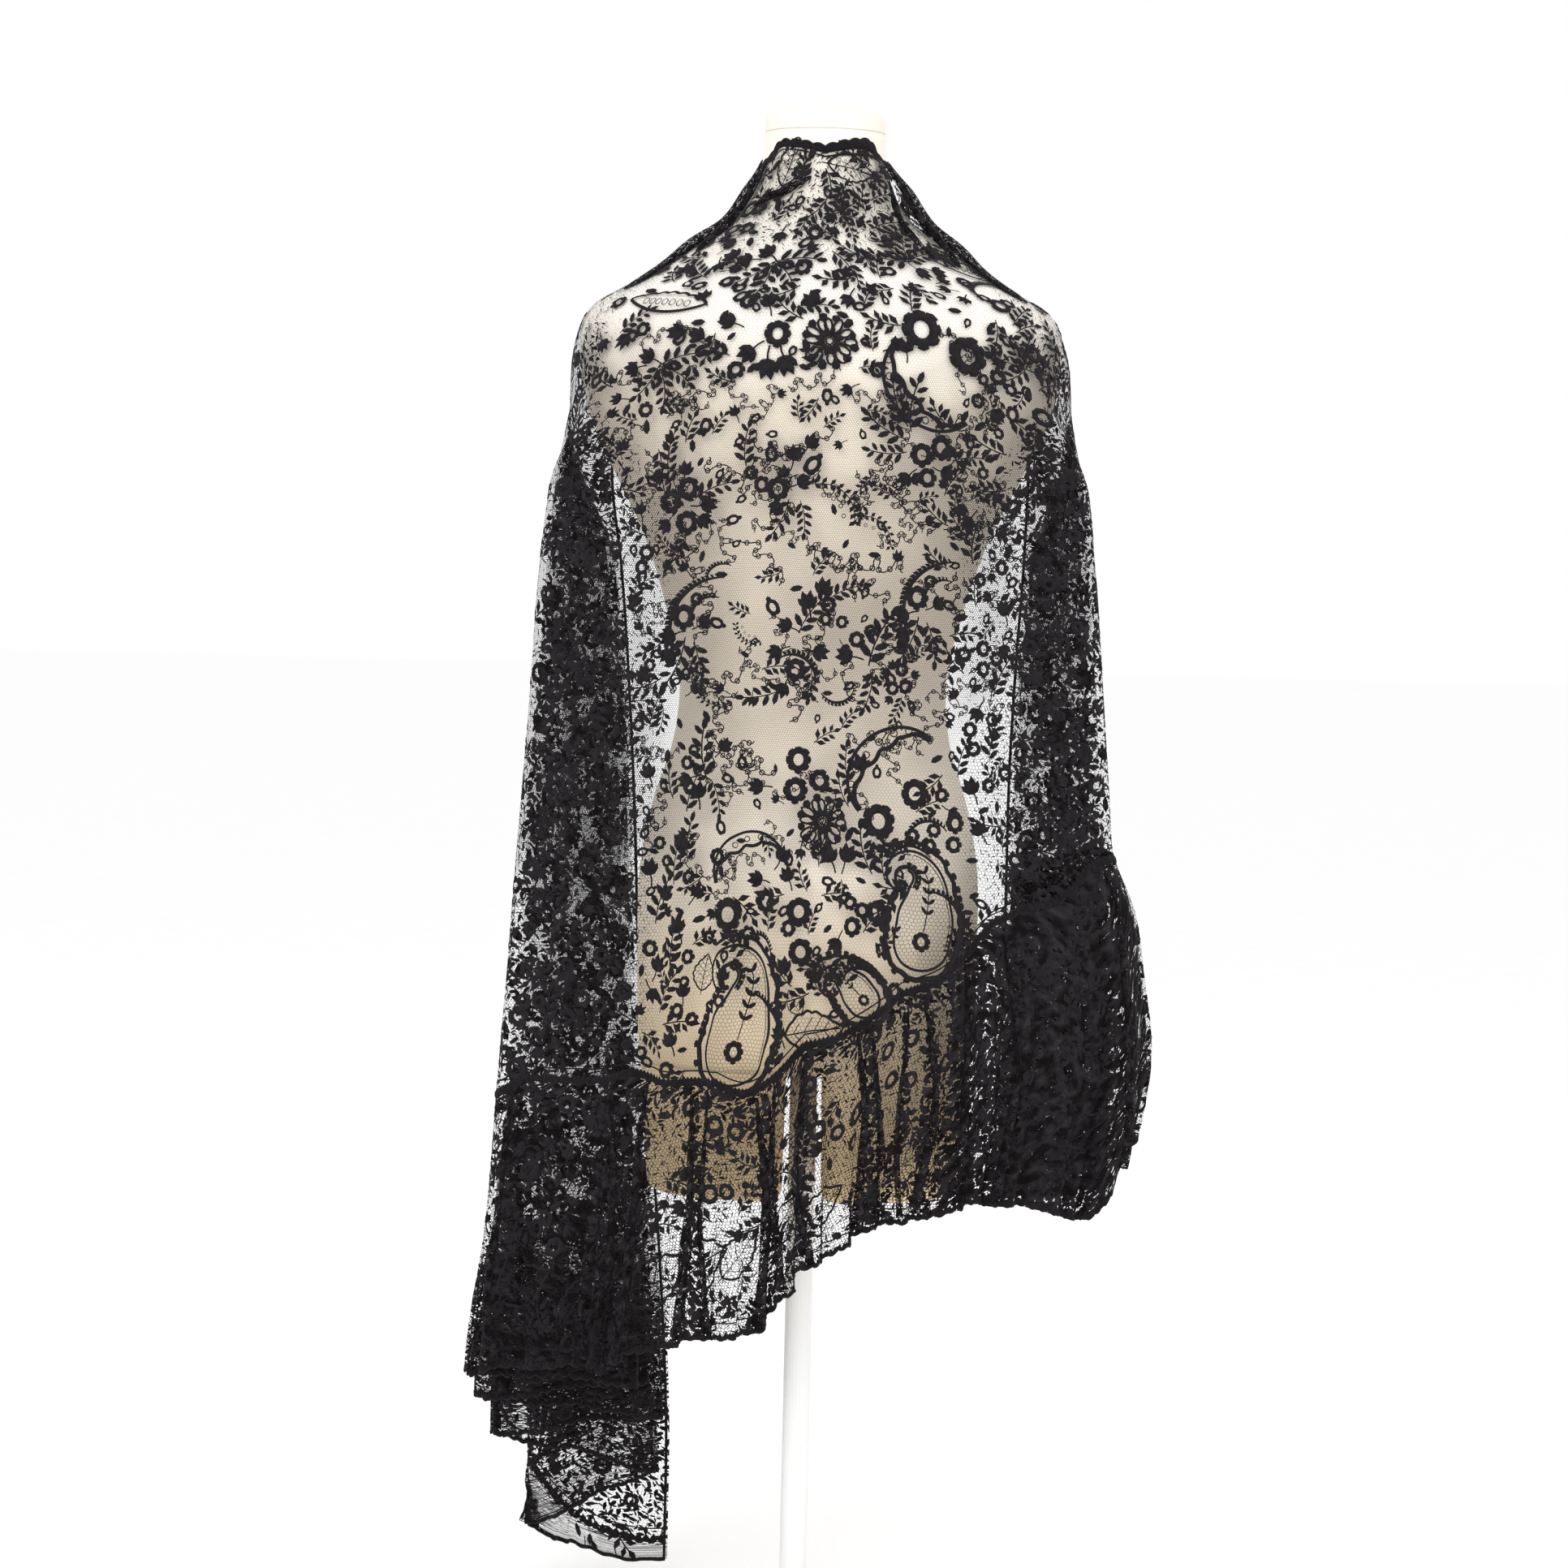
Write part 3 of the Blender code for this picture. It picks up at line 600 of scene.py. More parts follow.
def math_node(tree, operation, a, b=0.0, c=0.0):
    """One step of arithmetic between numbers or sockets."""
    return node(tree, "ShaderNodeMath", {0: a, 1: b, 2: c}, operation=operation).outputs[0]


def vector_node(tree, operation, a, b=(0, 0, 0), c=(0, 0, 0)):
    """One step of arithmetic between vectors."""
    made = node(tree, "ShaderNodeVectorMath", {0: a, 1: b, 2: c}, operation=operation)
    return made.outputs["Value"] if operation in ("LENGTH", "DOT_PRODUCT") else made.outputs["Vector"]


def noise(tree, place, scale, detail):
    """Soft noise from 0 to 1."""
    settings = {"Vector": place, "Scale": scale, "Detail": detail}
    return node(tree, "ShaderNodeTexNoise", settings).outputs["Fac"]


def map_range(tree, value, low, high, at_low=0.0, at_high=1.0):
    """The value carried from one range to another and held at both ends."""
    ends = {0: value, 1: low, 2: high, 3: at_low, 4: at_high}
    return node(tree, "ShaderNodeMapRange", ends).outputs[0]


def mix_colour(tree, share, first, second):
    """The first colour where share is 0 and the second where it is 1."""
    return node(tree, "ShaderNodeMix", {0: share, 6: first, 7: second}, data_type="RGBA").outputs[2]


def add_bump(tree, shader, height, strength, distance):
    """Fine relief on a material."""
    bump = node(tree, "ShaderNodeBump", {"Height": height, "Strength": strength, "Distance": distance})
    tree.links.new(bump.outputs[0], shader.inputs["Normal"])


HEX_ROW = math.sqrt(3)
THREAD_SOFTNESS = 0.02


def hex_net(tree, place, pitch, thread):
    """1 on the threads of a six-sided net and 0 in its holes. The nearer of two offset lattices
    gives the hole's middle; the distance to the hole's edge is then compared with the thread."""
    scaled = node(tree, "ShaderNodeVectorMath", {0: place, "Scale": 1 / pitch}, operation="SCALE").outputs[0]
    half = (0.5, HEX_ROW / 2, 0.5)
    minus = (-0.5, -HEX_ROW / 2, -0.5)
    first = vector_node(tree, "WRAP", scaled, half, minus)
    moved = vector_node(tree, "ADD", scaled, (0.5, HEX_ROW / 2, 0.0))
    second = vector_node(tree, "WRAP", moved, half, minus)
    nearer = math_node(
        tree, "LESS_THAN", vector_node(tree, "LENGTH", first), vector_node(tree, "LENGTH", second)
    )
    chosen = node(tree, "ShaderNodeMix", {0: nearer, 4: second, 5: first}, data_type="VECTOR").outputs[1]
    folded = vector_node(tree, "ABSOLUTE", chosen)
    slanted = vector_node(tree, "DOT_PRODUCT", folded, (0.5, HEX_ROW / 2, 0.0))
    straight = node(tree, "ShaderNodeSeparateXYZ", {0: folded}).outputs["X"]
    distance = math_node(tree, "MAXIMUM", slanted, straight)
    edge = math_node(tree, "SUBTRACT", 0.5, thread)
    low = math_node(tree, "SUBTRACT", edge, THREAD_SOFTNESS)
    high = math_node(tree, "ADD", edge, THREAD_SOFTNESS)
    return map_range(tree, distance, low, high)


LACE_BLACK = (0.0042, 0.0035, 0.0040, 1.0)
LACE_GREY = (0.026, 0.0225, 0.0255, 1.0)
FINE_PITCH, FINE_THREAD = 0.0018, 0.044
BAND_PITCH, BAND_THREAD = 0.0028, 0.022
OPEN_PITCH, OPEN_THREAD = 0.0034, 0.040
GATHER_THREAD = 2.6
LEAF_CELL, LEAF_CELL_LONG, LEAF_CELL_WIDE = 0.0074, 0.0105, 0.0046
SMALL_CELL, SMALL_CELL_LONG, SMALL_CELL_WIDE = 0.0049, 0.0070, 0.0030
LEAF_SOFTNESS = 0.08
SMALL_SHIFT = (0.137, 0.071, 0.0)
FILLINGS = ("band", "filling", "gather", "close", "small")
NUMBER_RANGE = (-4, 5)
NET_SHEEN = (0.76, 0.70, 0.78, 1)
WOBBLE_SCALE, WOBBLE_SIZE = 45.0, 0.006
CLOUD_SCALE, CLOUD_LOW, CLOUD_HIGH = 26.0, 0.92, 1.08
# Lighter grey patches of the net: partly greyer thread, partly painted sheen standing in for light caught on
# the threads.
GREY_SHEEN_SCALE, GREY_SHEEN_FROM, GREY_SHEEN_FULL = 95.0, 0.42, 0.68


def leaf_cells(tree, place, pitch, length, width, amount):
    """1 inside leaves strewn over the cloth, one in each cell of a Voronoi pattern and turned by that
    cell's own chance colour. A leaf is where |y| < amount - x squared, in halves of width and length."""
    settings = {"Vector": place, "Scale": 1 / pitch, "Randomness": 0.9}
    cells = node(tree, "ShaderNodeTexVoronoi", settings, voronoi_dimensions="2D")
    local = vector_node(tree, "SUBTRACT", place, cells.outputs["Position"])
    chance = node(tree, "ShaderNodeSeparateColor", {0: cells.outputs["Color"]}).outputs[0]
    settings = {"Vector": local, "Angle": math_node(tree, "MULTIPLY", chance, 2 * math.pi)}
    turned = node(tree, "ShaderNodeVectorRotate", settings, rotation_type="Z_AXIS").outputs[0]
    halves = vector_node(tree, "MULTIPLY", turned, (2 / length, 2 / width, 0))
    shares = node(tree, "ShaderNodeSeparateXYZ", {0: halves})
    squared = math_node(tree, "MULTIPLY", shares.outputs["X"], shares.outputs["X"])
    across = math_node(tree, "ABSOLUTE", shares.outputs["Y"])
    inside = math_node(tree, "SUBTRACT", math_node(tree, "SUBTRACT", amount, squared), across)
    return map_range(tree, inside, 0.0, LEAF_SOFTNESS)


def net_material(name):
    """Twisted-thread net: fine in the field, more open where band is 1, honeycomb where filling is 1.
    Its threads lie closer where gather is 1. Strewn leaves of two sizes fill it, by close and small."""
    material, tree, shader = finish(
        name, LACE_BLACK, 0.80, sheen=0.03, sheen_tint=NET_SHEEN, sheen_roughness=0.45, specular=0.06
    )
    place = node(tree, "ShaderNodeUVMap", uv_map="cloth").outputs[0]
    wobble = node(tree, "ShaderNodeTexNoise", {"Vector": place, "Scale": WOBBLE_SCALE, "Detail": 1.0})
    centred = vector_node(tree, "SUBTRACT", wobble.outputs["Color"], (0.5, 0.5, 0.5))
    settings = {0: centred, "Scale": WOBBLE_SIZE}
    strength = node(tree, "ShaderNodeVectorMath", settings, operation="SCALE").outputs[0]
    moved = vector_node(tree, "MULTIPLY", vector_node(tree, "ADD", place, strength), (1, 1, 0))
    amount = {}
    for attribute in FILLINGS:
        amount[attribute] = node(tree, "ShaderNodeAttribute", attribute_name=attribute).outputs["Fac"]
    thick = map_range(tree, noise(tree, place, CLOUD_SCALE, 2.0), 0.3, 0.7, CLOUD_LOW, CLOUD_HIGH)
    closer = math_node(tree, "MULTIPLY_ADD", amount["gather"], GATHER_THREAD, thick)
    fine = hex_net(tree, moved, FINE_PITCH, math_node(tree, "MULTIPLY", closer, FINE_THREAD))
    band = hex_net(tree, moved, BAND_PITCH, math_node(tree, "MULTIPLY", closer, BAND_THREAD))
    honeycomb = hex_net(tree, moved, OPEN_PITCH, OPEN_THREAD)
    filling_on = math_node(tree, "GREATER_THAN", amount["filling"], 0.5)
    band_on = map_range(tree, amount["band"], 0.0, 1.0)
    ground = node(tree, "ShaderNodeMix", {0: band_on, 2: fine, 3: band}).outputs[0]
    threads = node(tree, "ShaderNodeMix", {0: filling_on, 2: ground, 3: honeycomb}).outputs[0]
    large = leaf_cells(tree, moved, LEAF_CELL, LEAF_CELL_LONG, LEAF_CELL_WIDE, amount["close"])
    shifted = vector_node(tree, "ADD", moved, SMALL_SHIFT)
    small = leaf_cells(tree, shifted, SMALL_CELL, SMALL_CELL_LONG, SMALL_CELL_WIDE, amount["small"])
    leaves = math_node(tree, "MAXIMUM", large, small)
    tree.links.new(math_node(tree, "MAXIMUM", threads, leaves), shader.inputs["Alpha"])
    # painted sheen: lighter grey patches, partly the threads' own greyer tone and partly light caught on
    # them, painted into the colour
    patches = map_range(tree, noise(tree, place, GREY_SHEEN_SCALE, 3.0), GREY_SHEEN_FROM, GREY_SHEEN_FULL)
    tree.links.new(mix_colour(tree, patches, LACE_BLACK, LACE_GREY), shader.inputs["Base Color"])
    return material


THREAD_SHEEN = (0.74, 0.68, 0.76, 1)


def thread_material(name, dark, light, scale):
    """Close clothwork and cord: fine slanting threads as bump, with a fine change of tone."""
    material, tree, shader = finish(name, dark, 0.84, sheen=0.05, sheen_tint=THREAD_SHEEN, specular=0.10)
    place = node(tree, "ShaderNodeTexCoord").outputs["Object"]
    tint = mix_colour(tree, noise(tree, place, 160.0, 3.0), dark, light)
    tree.links.new(tint, shader.inputs["Base Color"])
    settings = {"Vector": place, "Scale": scale, "Distortion": 1.2}
    weave = node(tree, "ShaderNodeTexWave", settings, bands_direction="DIAGONAL")
    add_bump(tree, shader, weave.outputs["Fac"], 0.5, 0.0003)
    return material


# Tones of the jersey by height: its own warm tan low down and ivory above, with painted shade making the
# thigh ends darker where the light falls off, and a painted highlight making the top over the shoulders
# nearly white; and the tone of its worn patches.
JERSEY_TONES_AND_PAINTED_LIGHT = [
    (0.42, (0.86, 0.65, 0.375, 1)),
    (0.56, (0.94, 0.80, 0.61, 1)),
    (0.64, (0.985, 0.885, 0.755, 1)),
    (0.82, (0.91, 0.795, 0.66, 1)),
    (1.00, (0.92, 0.82, 0.69, 1)),
    (1.09, (0.98, 0.94, 0.88, 1)),
    (1.16, (0.92, 0.86, 0.77, 1)),
]
JERSEY_WORN = (0.78, 0.67, 0.52, 1)
JERSEY_WORN_MOST = 0.16


def jersey_material():
    """Close ivory jersey: small knit loops as bump. Its tone goes by height, from tan thigh ends darkened by
    painted shade to a top that a painted highlight makes nearly white."""
    material, tree, shader = finish(
        "ivory_jersey", (0.9, 0.83, 0.72, 1), 0.75, sheen=0.15, sheen_tint=(1, 0.97, 0.9, 1), specular=0.3
    )
    place = node(tree, "ShaderNodeTexCoord").outputs["Object"]
    height = node(tree, "ShaderNodeSeparateXYZ", {0: place}).outputs["Z"]
    # painted light and shade by height: each height's tone holds the light falling there as well as the
    # jersey's own colour
    tint = JERSEY_TONES_AND_PAINTED_LIGHT[0][1]
    for (z_low, _), (z_high, tone) in zip(JERSEY_TONES_AND_PAINTED_LIGHT[:-1], JERSEY_TONES_AND_PAINTED_LIGHT[1:]):
        tint = mix_colour(tree, map_range(tree, height, z_low, z_high), tint, tone)
    patches = map_range(tree, noise(tree, place, 9.0, 3.0), 0.35, 0.75, 0.0, JERSEY_WORN_MOST)
    tree.links.new(mix_colour(tree, patches, tint, JERSEY_WORN), shader.inputs["Base Color"])
    stretched = node(tree, "ShaderNodeMapping", {"Vector": place, "Scale": (1.0, 1.0, 0.6)}).outputs[0]
    loops = node(tree, "ShaderNodeTexVoronoi", {"Vector": stretched, "Scale": 900.0}).outputs["Distance"]
    add_bump(tree, shader, loops, 0.35, 0.0004)
    return material


def paint_material(name, colour, roughness, grain):
    """Satin paint: a plain colour with a little mottling and a fine orange-peel bump."""
    material, tree, shader = finish(name, colour, roughness)
    place = node(tree, "ShaderNodeTexCoord").outputs["Object"]
    shade = tuple(c * 0.97 for c in colour[:3]) + (1,)
    tint = mix_colour(tree, noise(tree, place, 14.0, 3.0), colour, shade)
    tree.links.new(tint, shader.inputs["Base Color"])
    add_bump(tree, shader, noise(tree, place, grain, 2.0), 0.12, 0.0003)
    return material


# The figures of the pattern

LEAF_HEIGHT = 0.0004
CORD_HEIGHT = 0.00035
VEIN_WIDTH, STEM_WIDTH, FRAME_WIDTH, TRAIL_WIDTH = 0.0007, 0.0011, 0.0022, 0.00105
# Outlines as shares of length and half width: a full pointed leaf, a blunt petal and a plain kite.
LEAF = np.array([(0, 0), (0.28, 0.92), (0.70, 0.90), (1, 0), (0.70, -0.90), (0.28, -0.92)])
PETAL = np.array([(0, 0), (0.42, 0.85), (0.86, 0.95), (1, 0), (0.86, -0.95), (0.42, -0.85)])
ROUND = np.array([(0, 0), (0.30, 0.80), (0.78, 0.90), (1, 0), (0.78, -0.90), (0.30, -0.80)])
KITE = np.array([(0, 0), (0.48, 1.0), (1, 0), (0.48, -1.0)])


def cord_quads(count, closed=False):
    """Quads of a four-sided cord with this many points, and of its two ends where it isn't closed."""
    index = np.arange(count * 4).reshape(count, 4)
    after = np.roll(index, -1, axis=0) if closed else index[1:]
    here = index if closed else index[:-1]
    sides = [here, np.roll(here, -1, axis=1), np.roll(after, -1, axis=1), after]
    quads = np.stack(sides, axis=-1).reshape(-1, 4)
    return quads if closed else np.concatenate([quads, [index[0][::-1]], [index[-1]]])


def turned(a, b, turn):
    """Flat places turned anticlockwise about the origin."""
    c, s = np.cos(turn), np.sin(turn)
    return a * c - b * s, a * s + b * c


class Figure:
    """A flat figure of the pattern in its own metres: rows (x, y, height) and faces."""

    def __init__(self):
        """An empty figure."""
        self.points, self.triangles, self.quads = [], [], []
        self.count = 0

    def add(self, points, triangles=None, quads=None):
        """Adds points and the faces between them."""
        self.points.append(points)
        if triangles is not None:
            self.triangles.append(triangles + self.count)
        if quads is not None:
            self.quads.append(quads + self.count)
        self.count += len(points)

    def leaves(self, rows, outline=LEAF):
        """Closed lens-shaped leaves, one for each row of x, y, angle, length and width."""
        rows = np.atleast_2d(np.asarray(rows, float))
        corners = len(outline)
        x, y, angle, length, width = (rows[:, i, None] for i in range(5))
        flat = np.concatenate([outline, [(0.5, 0), (0.5, 0)]])
        a, b = flat[:, 0] * length, flat[:, 1] * width / 2
        high = np.zeros_like(a)
        high[:, -2], high[:, -1] = LEAF_HEIGHT, -LEAF_HEIGHT
        a, b = turned(a, b, angle)
        points = np.stack([x + a, y + b, high], axis=-1).reshape(-1, 3)
        here = np.arange(corners)
        after = (here + 1) % corners
        top = np.stack([after, here, np.full(corners, corners)], axis=1)
        under = np.stack([here, after, np.full(corners, corners + 1)], axis=1)
        faces = np.concatenate([top, under])
        offset = (corners + 2) * np.arange(len(rows))[:, None, None]
        self.add(points, triangles=(faces[None] + offset).reshape(-1, 3))
        return self

    def cord(self, line, width, closed=False):
        """A cord of four sides along a line: left edge, ridge, right edge and underside."""
        line = np.asarray(line, float)
        width = np.broadcast_to(np.asarray(width, float), len(line))
        if closed:
            way = np.roll(line, -1, axis=0) - np.roll(line, 1, axis=0)
        else:
            way = np.gradient(line, axis=0)
        way = unit(way)
        left = np.stack([-way[:, 1], way[:, 0]], axis=1) * width[:, None] / 2
        flat = np.zeros((len(line), 1))
        rows = [
            np.hstack([line + left, flat]),
            np.hstack([line, flat + CORD_HEIGHT]),
            np.hstack([line - left, flat]),
            np.hstack([line, flat - CORD_HEIGHT]),
        ]
        self.add(np.stack(rows, axis=1).reshape(-1, 3), quads=cord_quads(len(line), closed))
        return self

    def ring(self, x, y, radius, width, steps=10, stretch=1.0, turn=0.0):
        """An open ring, round or oval."""
        angle = np.linspace(0, 2 * np.pi, steps, endpoint=False)
        a, b = turned(radius * np.cos(angle), radius * stretch * np.sin(angle), turn)
        return self.cord(np.stack([x + a, y + b], axis=1), width, closed=True)

    def put(self, other, x=0.0, y=0.0, turn=0.0, size=1.0, flip=False):
        """A copy of another figure, turned, sized and moved."""
        points, triangles, quads = other.joined()
        if flip:
            points = points * (-1, 1, 1)
            triangles, quads = triangles[:, ::-1], quads[:, ::-1]
        a, b = turned(points[:, 0] * size, points[:, 1] * size, turn)
        self.add(np.stack([x + a, y + b, points[:, 2]], axis=1), triangles, quads)
        return self

    def joined(self):
        """All its points, triangles and quads."""
        triangles = np.concatenate([*self.triangles, np.zeros((0, 3), int)])
        quads = np.concatenate([*self.quads, np.zeros((0, 4), int)])
        return np.concatenate(self.points), triangles, quads


def leaf_rows(line, angle, length, width):
    """Rows of leaves that grow from the points of a line."""
    return np.stack(np.broadcast_arrays(line[:, 0], line[:, 1], angle, length, width), axis=1)


def radial(count, start, length, width, first=0.0):
    """Rows of leaves that point away from the middle, evenly round it."""
    angle = first + 2 * math.pi * np.arange(count) / count
    return leaf_rows(start * np.stack([np.cos(angle), np.sin(angle)], axis=1), angle, length, width)


def run_along(heading, length):
    """Points of a line of this length, from its heading at each of them."""
    step = length / (len(heading) - 1)
    return np.cumsum(np.stack([np.cos(heading), np.sin(heading)], axis=1) * step, axis=0)


def ring_flower(radius=0.0098, petals=8):
    """A flower seen as one thick oval ring with an uneven lobed rim round an open middle."""
    chance = np.random.default_rng(petals)
    made = Figure()
    made.ring(0, 0, radius * 0.60, radius * 0.46, 12, 1.12)
    rows = radial(petals, radius * 0.56, radius * 0.46, radius * 5.2 / petals)
    rows[:, 2] += chance.uniform(-0.16, 0.16, petals)
    rows[:, 3] *= chance.uniform(0.82, 1.18, petals)
    rows[:, 4] *= chance.uniform(0.85, 1.15, petals)
    return made.leaves(rows, ROUND)


def daisy(petals=12, radius=0.021):
    """A large double flower: long looped petals, a short full row over them and a small ring."""
    made = Figure()
    chance = np.random.default_rng(petals)
    for k in range(petals):
        angle = 2 * math.pi * (k + chance.uniform(-0.2, 0.2)) / petals
        reach = radius * chance.uniform(0.58, 0.76)
        x, y = reach * math.cos(angle), reach * math.sin(angle)
        made.ring(x, y, radius * 0.14, 0.0019, 8, chance.uniform(1.5, 2.1), angle - math.pi / 2)
    made.leaves(radial(petals, radius * 0.12, radius * 0.48, radius * 0.20, 0.26))
    rows = radial(petals, radius * 0.70, radius * 0.36, radius * 0.34, 0.26)
    rows[:, 3] *= chance.uniform(0.75, 1.25, petals)
    made.leaves(rows, ROUND)
    made.ring(0, 0, radius * 0.13, 0.0012, 8)
    return made


def bud(length=0.0120):
    """An oval bud with a pale middle, a pointed tip and two small leaves at its foot."""
    made = Figure()
    made.ring(0, length * 0.50, length * 0.25, length * 0.20, 10, 1.35)
    made.leaves(
        [
            (0, length * 0.80, math.pi / 2, length * 0.32, length * 0.28),
            (0, length * 0.06, math.radians(150), length * 0.34, length * 0.16),
            (0, length * 0.06, math.radians(30), length * 0.34, length * 0.16),
        ]
    )
    return made


def bent_stem(length, bend, count=6):
    """Points of a stem that starts upwards and bends to one side like a parabola."""
    share = np.linspace(0, 1, count)
    return np.stack([bend * length * share**2, length * share], axis=1)


def sprig(pairs=4, length=0.036, leaf=0.0130, width=0.0056, bend=0.3, spread=0.85, outline=LEAF):
    """A bent stem with pairs of full leaves that grow smaller towards its tip."""
    made = Figure()
    made.cord(bent_stem(length, bend), STEM_WIDTH)
    rows = []
    for k in range(pairs):
        share = (k + 0.7) / (pairs + 0.3)
        x, y = bend * length * share**2, length * share
        heading = math.atan2(1, 2 * bend * share)
        size = 1.0 - 0.30 * share
        rows.append((x, y, heading + spread, leaf * size, width * size))
        rows.append((x, y - 0.003, heading - spread, leaf * size, width * size))
    rows.append((bend * length * 0.9, length * 0.94, math.atan2(1, 2 * bend), leaf * 0.8, width * 0.85))
    return made.leaves(rows, outline)


def hand(fingers=4, leaf=0.0150, width=0.0052, spread=1.35, outline=LEAF):
    """A leaf cut into fingers: full leaves that spread from one foot, the middle ones longest."""
    made = Figure()
    share = np.linspace(-1, 1, fingers)
    size = 1 - 0.28 * np.abs(share)
    angle = math.pi / 2 + share * spread / 2
    made.leaves(leaf_rows(np.zeros((fingers, 2)), angle, leaf * size, width), outline)
    return made.cord([(0, -0.008), (0.0006, -0.003), (0, 0.003)], 0.0012)


def comb(length=0.066, start=2.3, curl=-2.4, leaf=0.0066, heavy=0.0030):
    """A curled spine with short leaves set closely on its outer side, heaviest in the middle."""
    made = Figure()
    count = int(round(length / 0.0036))
    share = np.linspace(0, 1, count)
    heading = start + curl * share**1.2
    line = run_along(heading, length)
    bulge = 0.35 + 0.65 * np.sin(np.pi * np.clip(share, 0.03, 0.97))
    made.cord(line, heavy * bulge)
    side = -np.sign(curl)
    rows = leaf_rows(line, heading + side * 0.75, leaf * (0.5 + 0.5 * bulge), 0.0044 * bulge)
    return made.leaves(rows[1:-1], KITE)


def bead_trail(seed, length=0.095, rings=9):
    """A thin thread that meanders like a river, with small open rings strung along it. Its heading
    swings as a sum of two sines of the length run."""
    chance = np.random.default_rng(seed)
    made = Figure()
    count = int(length / 0.0017)
    share = np.linspace(0, 1, count)
    swing = 1.45 * np.sin(2 * np.pi * (length / 0.033) * share + chance.uniform(0, 6))
    swing += 0.50 * np.sin(2 * np.pi * (length / 0.018) * share + chance.uniform(0, 6))
    line = run_along(math.pi / 2 + swing, length)
    made.cord(line, TRAIL_WIDTH)
    for k in range(rings):
        at = int((k + 0.5) / rings * count)
        made.ring(line[at, 0], line[at, 1], 0.0020, STEM_WIDTH, 7)
    return made


def berry_arc(length=0.050, curl=-1.9):
    """An arc of small full leaves in pairs, with a row of open beads under it."""
    made = Figure()
    heading = 0.35 + curl * np.linspace(0, 1, 9)
    line = run_along(heading, length)
    made.cord(line, 0.0009)
    rows = [(x, y, h + side, 0.0062, 0.0036) for (x, y), h in zip(line, heading) for side in (0.9, -0.9)]
    made.leaves(rows, KITE)
    for (x, y), h in zip(line[1:-1:2], heading[1:-1:2]):
        made.ring(x + 0.009 * math.sin(h), y - 0.009 * math.cos(h), 0.0016, VEIN_WIDTH, 7)
    return made


def leaf_medallion(length=0.050, width=0.028, veins=5):
    """A large leaf in outline: a scalloped cord, a midrib and pairs of bent veins."""
    made = Figure()
    share = np.linspace(0, 1, 25)
    half = width / 2 * np.sin(np.pi * share**0.85) * (1 + 0.13 * np.abs(np.sin(np.pi * share * 6)))
    upper = np.stack([length * (share - 0.5), half], axis=1)
    lower = np.stack([length * (share - 0.5), -half], axis=1)
    made.cord(np.concatenate([upper, lower[-2:0:-1]]), FRAME_WIDTH, closed=True)
    made.cord([(-length * 0.62, 0), (0, 0.0006), (length * 0.44, 0)], STEM_WIDTH)
    for k in range(veins):
        x = length * (-0.34 + 0.68 * k / (veins - 1))
        rise = width * 0.40 * math.sin(math.pi * (x / length + 0.5)) + 0.001
        for side in (1, -1):
            bend, tip = (x + rise * 0.55, side * rise * 0.7), (x + rise * 0.8, side * rise)
            made.cord([(x, 0), bend, tip], VEIN_WIDTH)
    return made


def crescent(length=0.066, rise=0.030, thick=0.013):
    """A crescent frame: a smooth outer cord, an inner one with pointed teeth, and beads between."""
    made = Figure()
    angle = np.linspace(0.04, np.pi - 0.04, 43)
    outer = np.stack([length / 2 * np.cos(angle), rise * np.sin(angle)], axis=1)
    teeth = 1 - np.abs(np.sin(angle * 6.5))
    dip = rise - thick * np.sin(angle) ** 0.7 + 0.0028 * teeth * np.sin(angle)
    inner = np.stack([length / 2 * 0.95 * np.cos(angle), dip * np.sin(angle)], axis=1)
    made.cord(outer, FRAME_WIDTH)
    made.cord(inner, 0.0028)
    middle = (outer + inner) / 2
    for k in range(8, 36, 5):
        made.ring(middle[k, 0], middle[k, 1], 0.0022, 0.0008, 8)
    return made


def cartouche(length=0.070, width=0.020):
    """A long oval frame with a scalloped upper cord, a smooth lower one and loops along its middle."""
    made = Figure()
    share = np.linspace(0, 1, 37)
    bow = np.sin(np.pi * share) ** 0.75
    upper = width * 0.5 * bow * (1 + 0.22 * np.abs(np.sin(np.pi * share * 7))) - 0.0016 * bow
    made.cord(np.stack([length * (share - 0.5), upper], axis=1), 0.0024)
    made.cord(np.stack([length * (share - 0.5), -width * 0.5 * bow], axis=1), 0.0026)
    for k in range(7):
        made.ring(length * (-0.27 + 0.09 * k), -0.001, 0.0024, VEIN_WIDTH, 8, 1.3, 0.3)
    return made


PAISLEY_STEPS = 40
# Along a paisley's spine: share of its length, half width as a share of its height.
PAISLEY_HALF = [
    (0.00, 0.250),
    (0.15, 0.250),
    (0.35, 0.185),
    (0.55, 0.110),
    (0.75, 0.074),
    (0.92, 0.044),
    (1.00, 0.012),
]


def paisley_spine(height):
    """Spine points and half widths of a paisley: a full round foot, a bent neck, a tip curled in."""
    share = np.linspace(0, 1, PAISLEY_STEPS)
    heading = 1.22 + 0.30 * share + 4.3 * np.clip((share - 0.40) / 0.60, 0, 1) ** 1.35
    line = run_along(heading, height * 1.18)
    return line - line[0], height * column(PAISLEY_HALF, 1, share)


def paisley_outline(height, grow=0.0):
    """The paisley's closed outline: up its right side, over the tip, down the left, round the foot."""
    line, half = paisley_spine(height)
    way = unit(np.gradient(line, axis=0))
    side = np.stack([way[:, 1], -way[:, 0]], axis=1) * (half + grow)[:, None]
    first = math.atan2(-side[0, 1], -side[0, 0])
    angle = first + np.linspace(0, np.pi, 16)[1:-1]
    foot = (half[0] + grow) * np.stack([np.cos(angle), np.sin(angle)], axis=1)
    return line + side, (line - side)[::-1], foot


